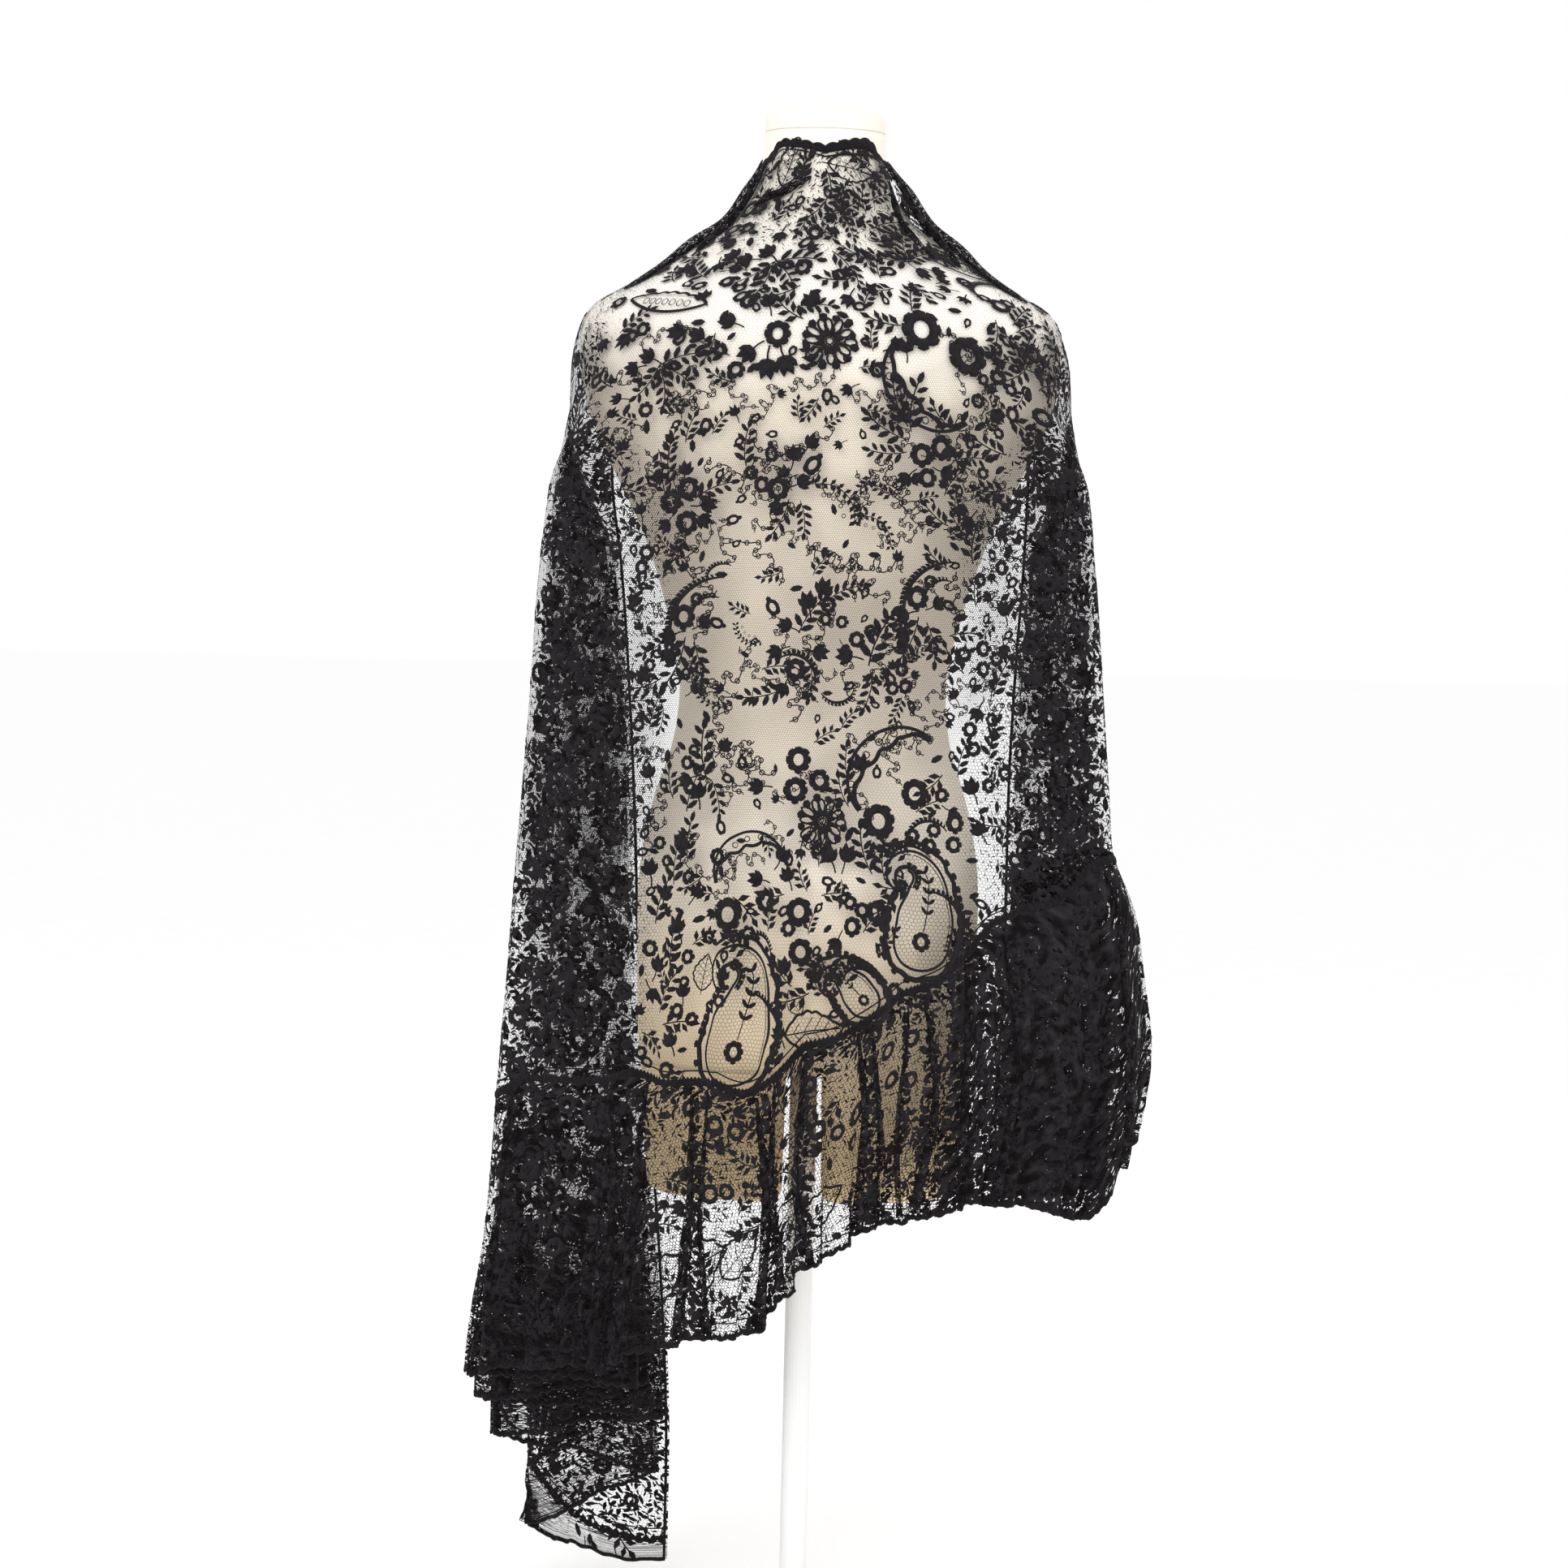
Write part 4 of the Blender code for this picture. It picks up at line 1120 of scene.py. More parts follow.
def paisley(height=0.100):
    """A paisley: a doubled outline, a hooked cord with petals on its inner bend, a heavy toothed rim on
    its outer side, a flower with a leafy stem in its foot, and a comb beside it."""
    made = Figure()
    line, _ = paisley_spine(height)
    right, left, foot = paisley_outline(height)
    made.cord(np.concatenate([left[12:], foot, right]), FRAME_WIDTH)
    right, left, foot = paisley_outline(height, -0.0030)
    made.cord(right[:26], VEIN_WIDTH)
    hook = left[1:25]
    made.cord(hook, 0.0010 + 0.0026 * np.sin(np.linspace(0.3, np.pi - 0.15, len(hook))))
    made.leaves([(hook[0, 0], hook[0, 1], 0.4, height * 0.06, height * 0.045)], ROUND)
    way = np.gradient(hook, axis=0)
    turn = np.arctan2(way[:, 0], -way[:, 1])
    made.leaves(leaf_rows(hook, turn, 0.0042, 0.0050)[12::2], PETAL)
    right, left, foot = paisley_outline(height, 0.0058)
    rim = np.concatenate([left[24:], foot, right[:31]])
    bite = 0.0022 * np.abs(np.sin(np.arange(len(rim)) * 0.9))
    way = unit(np.gradient(rim, axis=0))
    out = np.stack([way[:, 1], -way[:, 0]], axis=1)
    made.cord(rim + out * bite[:, None], 0.0018 + 0.0030 * np.sin(np.linspace(0.2, np.pi - 0.2, len(rim))))
    turn = np.arctan2(out[:, 1], out[:, 0])
    made.leaves(leaf_rows(rim, turn, 0.0064, 0.0062)[::2], PETAL)
    made.put(ring_flower(height * 0.088), 0, 0)
    made.cord(line[3:22], 0.0010)
    rows = []
    for k in range(8, 22, 3):
        heading = math.atan2(*(line[k + 1] - line[k])[::-1])
        for lean in (0.75, -0.75):
            rows.append((line[k, 0], line[k, 1], heading + lean, height * 0.085, height * 0.034))
    made.leaves(rows)
    made.put(comb(height * 0.62, 1.1, 2.0, 0.0060), height * 0.33, -height * 0.06)
    return made


# Bouquets, one row for each part: figure, place in millimetres, turn in degrees, size.
BOUQUETS = {
    "upright": [
        ("flower", -9, 0, 0, 1.00),
        ("small flower", -22, 3, 0, 1.00),
        ("small flower", -31, 12, 20, 0.85),
        ("sprig", -35, 17, 14, 0.85),
        ("bud", -14, 20, 8, 1.25),
        ("hand", 2, 22, -12, 1.00),
        ("hand", 13, 33, -38, 0.95),
        ("bud", 12, 12, -38, 1.55),
        ("hand", -3, 9, 24, 0.80),
        ("hand", 6, 4, -70, 0.95),
        ("sprig", 0, -8, 172, 0.85),
        ("sprig", 9, -9, 205, 0.70),
        ("hand", -8, -10, 158, 0.90),
        ("berry arc", 14, 2, 0, 1.00),
    ],
    "cluster": [
        ("flower", -6, 12, 0, 0.95),
        ("flower", -20, 1, 30, 1.05),
        ("flower", -5, -15, 10, 1.00),
        ("sprig", 0, 4, -48, 0.85),
        ("hand", 5, -1, -84, 1.05),
        ("hand", 4, -10, -125, 1.00),
        ("sprig", -22, 14, 22, 0.90),
        ("hand", -10, 22, -8, 0.90),
        ("hand", -20, -14, 140, 0.95),
        ("bud", -32, 14, 60, 1.05),
        ("sprig", -6, -26, 170, 0.75),
        ("bud", 26, -14, -70, 1.00),
    ],
    "hook": [
        ("long comb", 30, 32, 24, 1.00),
        ("comb", 26, 15, 10, 0.80),
        ("flower", -6, 0, 0, 1.05),
        ("small flower", 4, 14, 0, 0.80),
        ("hand", 8, -6, -60, 0.95),
        ("bud", 16, -2, -110, 1.10),
        ("hand", -12, -14, 110, 1.10),
        ("sprig", -4, -16, 176, 1.05),
        ("sprig", 3, -20, 212, 0.90),
        ("hand", -14, -26, 150, 1.05),
        ("sprig", -16, -14, 140, 0.80),
        ("bud", 8, -34, 200, 1.10),
    ],
    "tall": [
        ("sprig", 0, -6, -18, 1.00),
        ("hand", 8, 14, 10, 1.20),
        ("hand", 18, 26, -14, 1.15),
        ("small flower", 22, 6, 0, 0.85),
        ("small flower", 36, 4, 0, 0.80),
        ("flower", 24, 18, 0, 0.75),
        ("sprig", 26, 24, -52, 0.80),
        ("bud", -18, 8, 30, 1.35),
        ("hand", -6, -2, 66, 1.00),
        ("berry arc", -28, -12, 190, 0.60),
        ("flower", -2, -36, 0, 1.00),
        ("hand", -14, -20, 112, 1.00),
        ("hand", 12, -20, -104, 1.10),
        ("sprig", 10, -30, 196, 0.80),
        ("hand", -10, -48, 150, 1.00),
        ("sprig", -12, -52, 120, 0.95),
        ("comb", 14, -52, -74, 0.95),
    ],
    "fern": [
        ("sprig", 0, 0, 34, 1.00),
        ("sprig", 2, -4, 6, 1.10),
        ("sprig", -2, -10, 74, 0.95),
        ("sprig", -2, -20, 105, 0.80),
        ("flower", 10, -22, 0, 1.00),
        ("flower", 27, -16, 0, 1.00),
        ("small flower", 14, -40, 0, 1.15),
        ("hand", 26, -34, -110, 1.00),
        ("hand", 0, -38, 130, 0.95),
        ("sprig", 36, -26, -70, 0.80),
    ],
    "star": [
        ("sprig", 0, 0, -68, 0.95),
        ("sprig", 0, 0, -112, 0.85),
        ("sprig", 0, 0, 148, 0.85),
        ("sprig", 0, 0, 196, 0.90),
        ("hand", -4, 6, 52, 1.05),
        ("bud", 14, 14, -44, 1.15),
        ("hand", -18, 2, 92, 0.95),
    ],
    "branch": [
        ("sprig", 0, -14, 12, 1.20),
        ("small flower", -16, 2, 0, 0.95),
        ("small flower", -8, 12, 0, 0.80),
        ("hand", 16, 8, -50, 1.00),
        ("hand", -14, -12, 98, 1.10),
        ("sprig", 4, -16, 204, 0.85),
        ("bud", 14, -14, -120, 1.05),
    ],
}


def figures():
    """Every figure by its name."""
    made = {
        "flower": ring_flower(),
        "small flower": ring_flower(0.0070, 7),
        "daisy": daisy(),
        "bud": bud(),
        "sprig": sprig(),
        "hand": hand(),
        "comb": comb(0.050, 2.7, 2.3),
        "long comb": comb(0.086, 2.75, 2.1, 0.0070, 0.0034),
        "berry arc": berry_arc(),
        "crescent": crescent(),
        "cartouche": cartouche(),
        "leaf": leaf_medallion(),
        "plain leaf": Figure().leaves([(0, -0.0065, math.pi / 2, 0.013, 0.0060)]),
        "light sprig": sprig(3, 0.024, 0.0125, 0.0058, 0.3, 0.85, KITE),
        "light hand": hand(4, 0.0145, 0.0056, 1.35, KITE),
        "light flower": Figure().ring(0, 0, 0.0058, 0.0042, 9),
    }
    for k in range(5):
        made[f"trail {k}"] = bead_trail(k + 3)
    for name, rows in BOUQUETS.items():
        bouquet = Figure()
        for part, x, y, turn, size in rows:
            bouquet.put(made[part], x / 1000, y / 1000, math.radians(turn), size)
        made[name] = bouquet
    return made


class Stitching:
    """Collects figures laid on a chart's cloth, as one mesh."""

    def __init__(self, chart):
        """Nothing is laid on the chart's cloth yet."""
        self.chart = chart
        self.points, self.triangles, self.quads = [], [], []
        self.count = 0

    def keep(self, points, triangles, quads):
        """Keeps laid points and the faces between them."""
        self.points.append(points.reshape(-1, 3))
        self.triangles.append(triangles.reshape(-1, 3))
        self.quads.append(quads.reshape(-1, 4))
        self.count += self.points[-1].shape[0]

    def stamp(self, figure, t0, w0, turn=0.0, size=1.0):
        """Copies of a figure at places (t0, w0), each turned and sized, bent to follow the cloth."""
        points, triangles, quads = figure.joined()
        t0, w0 = np.atleast_1d(t0).astype(float), np.atleast_1d(w0).astype(float)
        turn = np.broadcast_to(np.asarray(turn, float), t0.shape)[:, None]
        size = np.broadcast_to(np.asarray(size, float), t0.shape)[:, None]
        a, b = turned(points[:, 0] * size, points[:, 1] * size, turn)
        t, w = self.chart.lay(t0[:, None] + 0 * a, w0[:, None] + 0 * a, a, b)
        place, normal = self.chart.at(t, w)
        laid = place + normal * points[:, 2][None, :, None]
        offset = self.count + len(points) * np.arange(len(t0))[:, None, None]
        self.keep(laid, triangles[None] + offset, quads[None] + offset)

    def cord_on(self, t, w, width, height=CORD_HEIGHT):
        """A cord of four sides along a path on the cloth: across it is normal x way."""
        place, normal = self.chart.at(t, w)
        left = unit(np.cross(normal, unit(np.gradient(place, axis=0))))
        left *= np.broadcast_to(np.asarray(width, float), len(t))[:, None] / 2
        raised = normal * height
        rows = np.stack([place + left, place + raised, place - left, place - raised], axis=1)
        self.keep(rows, np.zeros((0, 3), int), cord_quads(len(t)) + self.count)

    def mesh(self, name):
        """All that is kept, as one mesh."""
        return make_mesh(name, *map(np.concatenate, (self.points, self.triangles, self.quads)))


def spread_out(chart, draw, spacing, inside, tries=14):
    """Places spread at random over the cloth, none nearer than spacing to another along the cloth.
    Places are drawn by area and kept one by one, with a grid of squares to find their neighbours."""
    t_axis = np.linspace(-1, 1, chart.columns)
    w_axis = np.linspace(chart.w_low, chart.w_high, chart.rows)
    allowed = inside(t_axis[None, :], w_axis[:, None])
    weight = (chart.area * allowed).ravel()
    total = weight.sum()
    wanted = int(tries * total / spacing**2)
    picks = draw.choice(weight.size, wanted, p=weight / total)
    t = t_axis[picks % chart.columns] + draw.uniform(-1, 1, wanted) / chart.columns
    w = w_axis[picks // chart.columns] + draw.uniform(-0.5, 0.5, wanted) * (w_axis[1] - w_axis[0])
    u, v = chart.lengths(t, w)
    kept, squares = [], {}
    columns, rows = (u / spacing).astype(int).tolist(), (v / spacing).astype(int).tolist()
    u, v = u.tolist(), v.tolist()
    for k in range(wanted):
        i, j = columns[k], rows[k]
        around = [(i + di, j + dj) for di in (-1, 0, 1) for dj in (-1, 0, 1)]
        near = [m for square in around for m in squares.get(square, ())]
        if all((u[k] - u[m]) ** 2 + (v[k] - v[m]) ** 2 > spacing**2 for m in near):
            kept.append(k)
            squares.setdefault((i, j), []).append(k)
    return t[kept], w[kept]


# The two charts of the lace: the heights or shares that each spans, and its columns and rows

field_chart = Chart(lace_point, 0.020, 1.2150, 961, 640)
flounce_chart = Chart(flounce_point, 0.0, 1.0, 1601, 61)
draw = np.random.default_rng(41)


def place_on_back(x, z):
    """The t of a place on the back from its distance from the middle and its height."""
    reach = 0.55 if z > 1.06 else 0.29
    t = np.linspace(-reach, reach, 201)
    across = np.maximum.accumulate(lace_point(t, np.full_like(t, z))[:, 0])
    return float(np.interp(x, across, t))


# Bouquets and single figures of the back by their kind, one row each: distance from the middle,
# height, turn in degrees, size.
BACK_FIGURES = {
    "upright": [(-0.022, 0.934, 0, 1.00)],
    "cluster": [(-0.096, 0.921, 0, 1.00), (0.063, 0.788, 150, 0.62)],
    "fern": [(0.070, 0.985, 0, 1.00)],
    "hook": [(-0.097, 0.832, 0, 1.00), (0.086, 0.851, -4, 0.95)],
    "tall": [(-0.012, 0.827, 0, 0.95)],
    "branch": [(0.048, 0.810, -20, 1.00), (-0.084, 0.718, 10, 0.90)],
    "star": [
        (-0.039, 1.113, 0, 1.00), (0.069, 1.116, 160, 0.95), (-0.127, 1.029, 12, 1.00),
        (0.164, 1.035, 200, 0.90), (0.013, 1.153, 70, 0.72),
    ],
    "daisy": [(0.007, 1.051, 0, 1.05), (0.010, 0.674, 0, 1.00)],
    "flower": [
        (0.079, 1.062, 0, 1.75), (0.116, 1.042, 20, 1.70), (-0.034, 1.056, 0, 1.15),
        (-0.010, 0.722, 0, 1.10), (0.007, 0.706, 20, 0.95), (-0.012, 0.698, 0, 1.10),
        (0.082, 0.697, 0, 1.25), (0.054, 0.675, 10, 1.45), (0.115, 0.674, 0, 0.85),
        (-0.063, 0.599, 0, 1.45), (-0.007, 0.602, 0, 1.20), (-0.033, 0.610, 0, 1.05),
        (-0.005, 0.570, 10, 1.15), (0.054, 0.603, 0, 1.00), (0.035, 0.591, 0, 0.85),
        (0.043, 0.604, 0, 0.70), (-0.072, 0.644, 0, 0.75),
    ],
    "crescent": [(0.068, 0.710, 44, 1.25), (-0.047, 0.634, 22, 1.00), (0.090, 1.023, 128, 1.30)],
    "cartouche": [(-0.123, 1.081, -4, 1.00), (0.117, 1.112, -24, 0.95)],
    "long comb": [(0.151, 1.097, -14, 0.80)],
    "hand": [
        (-0.041, 1.036, 176, 1.35), (-0.029, 1.039, 196, 1.35), (-0.052, 1.044, 130, 1.20),
        (-0.068, 1.063, 70, 1.10), (-0.005, 1.078, 30, 1.10), (-0.041, 1.077, 20, 1.00),
        (0.046, 1.132, -90, 1.00), (-0.069, 1.116, 60, 1.10), (-0.108, 1.057, 100, 1.10),
        (-0.093, 1.051, 60, 1.00), (0.177, 1.082, -60, 1.00), (0.138, 1.001, 200, 1.00),
        (0.039, 0.714, 0, 1.10), (0.028, 0.642, -20, 1.20), (0.018, 0.642, 20, 1.10),
        (-0.037, 0.700, 90, 1.00), (-0.088, 0.689, 10, 1.10), (-0.023, 0.642, -30, 1.00),
        (-0.015, 0.626, 20, 1.00), (0.025, 0.582, 150, 1.00), (-0.016, 0.553, 20, 1.10),
        (0.004, 0.547, -30, 1.00), (-0.036, 0.626, 80, 1.00), (-0.125, 0.627, 10, 1.10),
        (-0.114, 0.608, -20, 1.10), (-0.101, 0.583, 20, 1.10), (-0.119, 0.551, -20, 1.10),
        (-0.097, 0.532, 0, 1.00), (-0.105, 0.493, 20, 1.00), (-0.101, 0.647, 0, 1.10),
        (0.129, 0.697, 20, 1.10), (0.151, 0.838, 10, 1.00), (0.136, 0.665, 30, 1.00),
        (-0.135, 0.780, -10, 1.00), (-0.127, 0.704, 20, 1.00),
    ],
    "sprig": [
        (-0.071, 1.038, 80, 0.90), (-0.021, 1.077, -70, 0.80), (0.039, 1.142, -60, 0.90),
        (0.015, 1.177, 170, 0.80), (-0.091, 1.100, 75, 0.90), (-0.169, 1.055, -30, 0.80),
        (0.152, 1.068, -40, 0.80), (0.170, 0.992, 170, 0.90), (0.030, 0.704, 20, 0.80),
        (0.050, 0.633, 30, 1.00), (0.060, 0.629, 12, 0.90), (-0.097, 0.679, 0, 0.90),
        (0.027, 0.569, 180, 0.80), (0.056, 0.568, -20, 0.70), (-0.106, 0.621, 10, 1.00),
        (-0.120, 0.589, 0, 1.00), (-0.107, 0.557, 10, 1.00), (-0.115, 0.519, -10, 1.00),
        (-0.095, 0.639, 14, 0.90), (0.116, 0.710, 0, 0.80), (0.143, 0.774, -10, 0.90),
        (0.141, 0.723, 0, 0.90), (0.153, 0.653, 0, 0.80), (-0.140, 0.831, 20, 0.80),
        (-0.128, 0.742, 0, 0.80),
    ],
    "bud": [
        (0.006, 1.014, 180, 1.10), (-0.087, 0.989, 170, 1.20), (0.024, 1.079, -90, 1.00),
        (0.007, 1.103, -80, 1.20), (-0.070, 1.081, -40, 1.10), (0.153, 1.004, 160, 1.30),
        (0.052, 0.708, 0, 0.90), (0.010, 0.628, -100, 1.00), (0.023, 0.612, -80, 1.10),
        (-0.068, 0.661, 20, 1.10), (-0.053, 0.713, 10, 1.00),
    ],
    "small flower": [
        (-0.141, 1.058, 0, 0.90), (0.148, 1.086, 0, 0.90), (-0.124, 0.569, 0, 1.00),
        (-0.094, 0.564, 0, 0.90), (-0.118, 0.653, 0, 0.80), (0.114, 0.657, 0, 1.00),
        (0.147, 0.876, 0, 0.90), (0.134, 0.812, 0, 1.00), (0.141, 0.704, 0, 0.90),
        (-0.137, 0.870, 0, 0.90), (-0.129, 0.793, 0, 0.80),
    ],
    "comb": [
        (-0.028, 0.566, -60, 0.70), (0.110, 0.665, -30, 0.80), (0.098, 0.644, -30, 0.90),
        (-0.064, 0.872, 0, 0.60), (0.005, 0.777, 150, 0.70),
    ],
    "leaf": [
        (0.007, 0.508, 8, 1.05), (-0.009, 0.530, 120, 0.45), (-0.026, 1.195, 80, 0.85),
        (0.022, 1.190, -12, 0.80), (-0.080, 0.552, 80, 0.60),
    ],
    "berry arc": [(0.028, 0.912, 0, 0.80), (-0.061, 0.769, 200, 0.70)],
}


def back_pattern(stitching, shapes):
    """The listed figures placed on the back."""
    for name, rows in BACK_FIGURES.items():
        for x, z, turn, size in rows:
            stitching.stamp(shapes[name], place_on_back(x, z), z, math.radians(turn), size)
    for x, z, turn, height in PAISLEYS:
        stitching.stamp(paisley(height), place_on_back(x, z), z, math.radians(turn))


# How far each figure keeps strewn ones off, in metres at size 1.
REACH = {
    "upright": 0.034,
    "cluster": 0.030,
    "fern": 0.032,
    "hook": 0.034,
    "tall": 0.036,
    "star": 0.024,
    "branch": 0.026,
    "daisy": 0.026,
    "crescent": 0.026,
    "cartouche": 0.030,
    "leaf": 0.026,
    "long comb": 0.020,
}
SMALL_REACH = 0.011


def taken_places(share=1.0):
    """Where the listed figures lie, as rows of u, v and a keep-off distance."""
    rows = []
    for name, places in BACK_FIGURES.items():
        rows += [(x, z, REACH.get(name, SMALL_REACH) * size) for x, z, _, size in places]
    rows += [(x, z, height * 0.42) for x, z, _, height in PAISLEYS]
    rows += [(x + height * 0.18, z + height * 0.40, height * 0.34) for x, z, _, height in PAISLEYS]
    t = np.array([place_on_back(x, z) for x, z, _ in rows])
    u, v = field_chart.lengths(t, np.array([z for _, z, _ in rows]))
    return np.stack([u, v, [r * share for _, _, r in rows]], axis=1)


def free_of(taken, t, w):
    """True where a place keeps clear of every listed figure."""
    u, v = field_chart.lengths(t, w)
    gap = np.hypot(u[:, None] - taken[:, 0], v[:, None] - taken[:, 1]) - taken[:, 2]
    return gap.min(axis=1) > 0


def scatter(stitching, shapes, names, t, w, sizes=(0.85, 1.1)):
    """Stamps a random figure with a random turn and size at each place."""
    pick = draw.integers(0, len(names), len(t))
    turn = draw.uniform(0, 2 * math.pi, len(t))
    size = draw.uniform(*sizes, len(t))
    for k, name in enumerate(names):
        chosen = pick == k
        if chosen.any():
            stitching.stamp(shapes[name], t[chosen], w[chosen], turn[chosen], size[chosen])


EDGE_MARGIN = 0.010
T_END = 0.985


def field_inside(t_low, t_high, margin=EDGE_MARGIN):
    """A test for places on the field between two values of t, off its edges."""

    def inside(t, w):
        """True on a grid of t and w where a figure may lie."""
        t, w = np.broadcast_arrays(t, w)
        row = t[:1]
        above = w > field_edge(row) + margin
        below = w < neck_edge(row) - margin * 0.4
        return (t >= t_low) & (t <= t_high) & above & below & (np.abs(t) < T_END)

    return inside


BAND_FIGURES = ["light sprig", "light hand", "bud", "small flower", "plain leaf", "plain leaf", "light sprig"]
FIELD_FIGURES = ["light sprig", "plain leaf", "bud", "light hand"]
TRAILS = [f"trail {k}" for k in range(5)]
FALL_FIGURES = ["light sprig", "light hand", "light flower", "plain leaf", "small flower", "light sprig"]
BAND_SPACING, FIELD_SPACING, TRAIL_SPACING, FALL_SPACING = 0.0128, 0.0165, 0.026, 0.026
BAND_SIZES, FIELD_SIZES, TRAIL_SIZES, FALL_SIZES = (0.70, 1.05), (0.6, 0.85), (0.75, 1.0), (0.9, 1.25)
FALL_EDGE = 0.26
# How much of the border band's number a figure of the band needs, and a trail may have at most.
BAND_FIGURE_FROM, TRAIL_UP_TO = 0.3, 0.7
# Shares of the listed figures' reach that strewn figures and trails keep clear of.
CLEAR_OF_FIGURES, CLEAR_OF_TRAILS = 0.82, 0.45
LEFT_STRIP_KEPT, FIELD_KEPT = 0.45, 0.7


def field_pattern(material, shapes):
    """The pattern of the field as four pieces: the back, its bead trails and the two falls."""
    made = []
    back = Stitching(field_chart)
    back_pattern(back, shapes)
    taken = taken_places(CLEAR_OF_FIGURES)
    t, w = spread_out(field_chart, draw, BAND_SPACING, field_inside(-FALL_EDGE, FALL_EDGE))
    free = free_of(taken, t, w)
    t, w = t[free], w[free]
    u, v = field_chart.lengths(t, w)
    sparse = draw.uniform(size=len(t)) < LEFT_STRIP_KEPT
    in_strip = (t > STRIP_START) | ((t < -STRIP_START) & sparse)
    in_band = (band_share(t, u, v) > BAND_FIGURE_FROM) | in_strip
    scatter(back, shapes, BAND_FIGURES, t[in_band], w[in_band], BAND_SIZES)
    t, w = spread_out(field_chart, draw, TRAIL_SPACING, field_inside(-FALL_EDGE, FALL_EDGE))
    u, v = field_chart.lengths(t, w)
    loose = (band_share(t, u, v) < TRAIL_UP_TO) & free_of(taken_places(CLEAR_OF_TRAILS), t, w)
    trails = Stitching(field_chart)
    scatter(trails, shapes, TRAILS, t[loose], w[loose], TRAIL_SIZES)
    t, w = spread_out(field_chart, draw, FIELD_SPACING, field_inside(-FALL_EDGE, FALL_EDGE))
    u, v = field_chart.lengths(t, w)
    loose = (band_share(t, u, v) <= BAND_FIGURE_FROM) & free_of(taken, t, w)
    loose &= draw.uniform(size=len(t)) < FIELD_KEPT
    scatter(back, shapes, FIELD_FIGURES, t[loose], w[loose], FIELD_SIZES)
    made.append(("lace_pattern_back", back))
    made.append(("bead_trails", trails))
    for name, low, high in (("left", -1.0, -FALL_EDGE), ("right", FALL_EDGE, 1.0)):
        side = Stitching(field_chart)
        t, w = spread_out(field_chart, draw, FALL_SPACING, field_inside(low, high))
        scatter(side, shapes, FALL_FIGURES, t, w, FALL_SIZES)
        made.append((f"lace_pattern_{name}", side))
    return [add_piece(name, part.mesh(name), material, "black_lace") for name, part in made]


HEM_LEAVES = 54
HEM_LEAF_SHARE, HEM_LEAF_SPREAD, HEM_LEAF_REACH = 0.30, 0.06, 0.12
FULL_DEPTH = 0.20
FLOUNCE_SPACING = 0.0168
FLOUNCE_FIGURES = ["light sprig", "light hand", "light flower", "light sprig", "plain leaf"]


def flounce_pattern(material, shapes):
    """The pattern of the flounce: large leaves near its hem and small figures above them."""
    part = Stitching(flounce_chart)
    t = (np.arange(HEM_LEAVES) + 0.5) / HEM_LEAVES * 1.96 - 0.98
    w = HEM_LEAF_SHARE + draw.uniform(-HEM_LEAF_SPREAD, HEM_LEAF_SPREAD, HEM_LEAVES)
    deep = flounce_chart.lengths(t, np.ones(HEM_LEAVES))[1]
    size = np.clip(deep / FULL_DEPTH, 0.15, 1.0) * draw.uniform(0.9, 1.15, HEM_LEAVES)
    part.stamp(leaf_medallion(0.052, 0.032, 4), t, w, draw.uniform(0.2, 0.9, HEM_LEAVES), size)

    def inside(t, w):
        """True on a grid of t and w where a small figure may lie."""
        t, w = np.broadcast_arrays(t, w)
        return (np.abs(t) < T_END) & (w > 0.05) & (w < 0.97)

    t, w = spread_out(flounce_chart, draw, FLOUNCE_SPACING, inside, 10)
    clear = (np.abs(w - HEM_LEAF_SHARE) > HEM_LEAF_REACH) | (draw.uniform(size=len(t)) < 0.30)
    scatter(part, shapes, FLOUNCE_FIGURES, t[clear], w[clear])
    return add_piece("flounce_pattern", part.mesh("flounce_pattern"), material, "black_lace")


TOOTH = 0.0100
# Where the neck's rim is heaviest, in t, and how far that reaches.
NECK_HEAVY, NECK_HEAVY_REACH = 0.20, 0.17
# Cords and lines of stitching: how far in from the edge, the teeth's depth, width, and how much
# further in and wider where the rim is heavy.
NECK_IN, NECK_TEETH, NECK_CORD, NECK_CORD_MORE = 0.0022, 0.0020, 0.0024, 0.0034
NECK_LINE_IN, NECK_LINE_LOWER, NECK_LINE, NECK_LINE_MORE = 0.0080, 0.0030, 0.0010, 0.0014
SEAM_IN, SEAM_TEETH, SEAM_CORD, SEAM_UNEVEN = 0.0042, 0.0040, 0.0034, 0.30
SEAM_LINE_IN, SEAM_LINE = 0.0120, 0.0012
RIM_RAISE, SEAM_RAISE = 0.0006, 0.0010
# On the flounce these are shares of its depth, apart from the cord's own width.
HEM_IN, HEM_CORD, HEM_TEETH, HEM_LINE_IN = 0.004, 0.0034, 0.016, 0.070
END_CORD, END_OF_CLOTH = 0.0024, 0.9985
PICOT_END, RIM_PICOTS, HEM_PICOTS = 0.997, 560, 760
NECK_PICOT_IN, SEAM_PICOT_IN, HEM_PICOT_IN = 0.0050, 0.0056, 0.022


def heavy_rim(t):
    """A bell that is 1 where the neck's rim is heaviest."""
    return np.exp(-(((t - NECK_HEAVY) / NECK_HEAVY_REACH) ** 2))


def teeth(chart, t, w):
    """Rounded teeth along an edge: the sine's size of the length run, 0 at each notch."""
    return np.abs(np.sin(np.pi * chart.lengths(t, w)[0] / TOOTH))


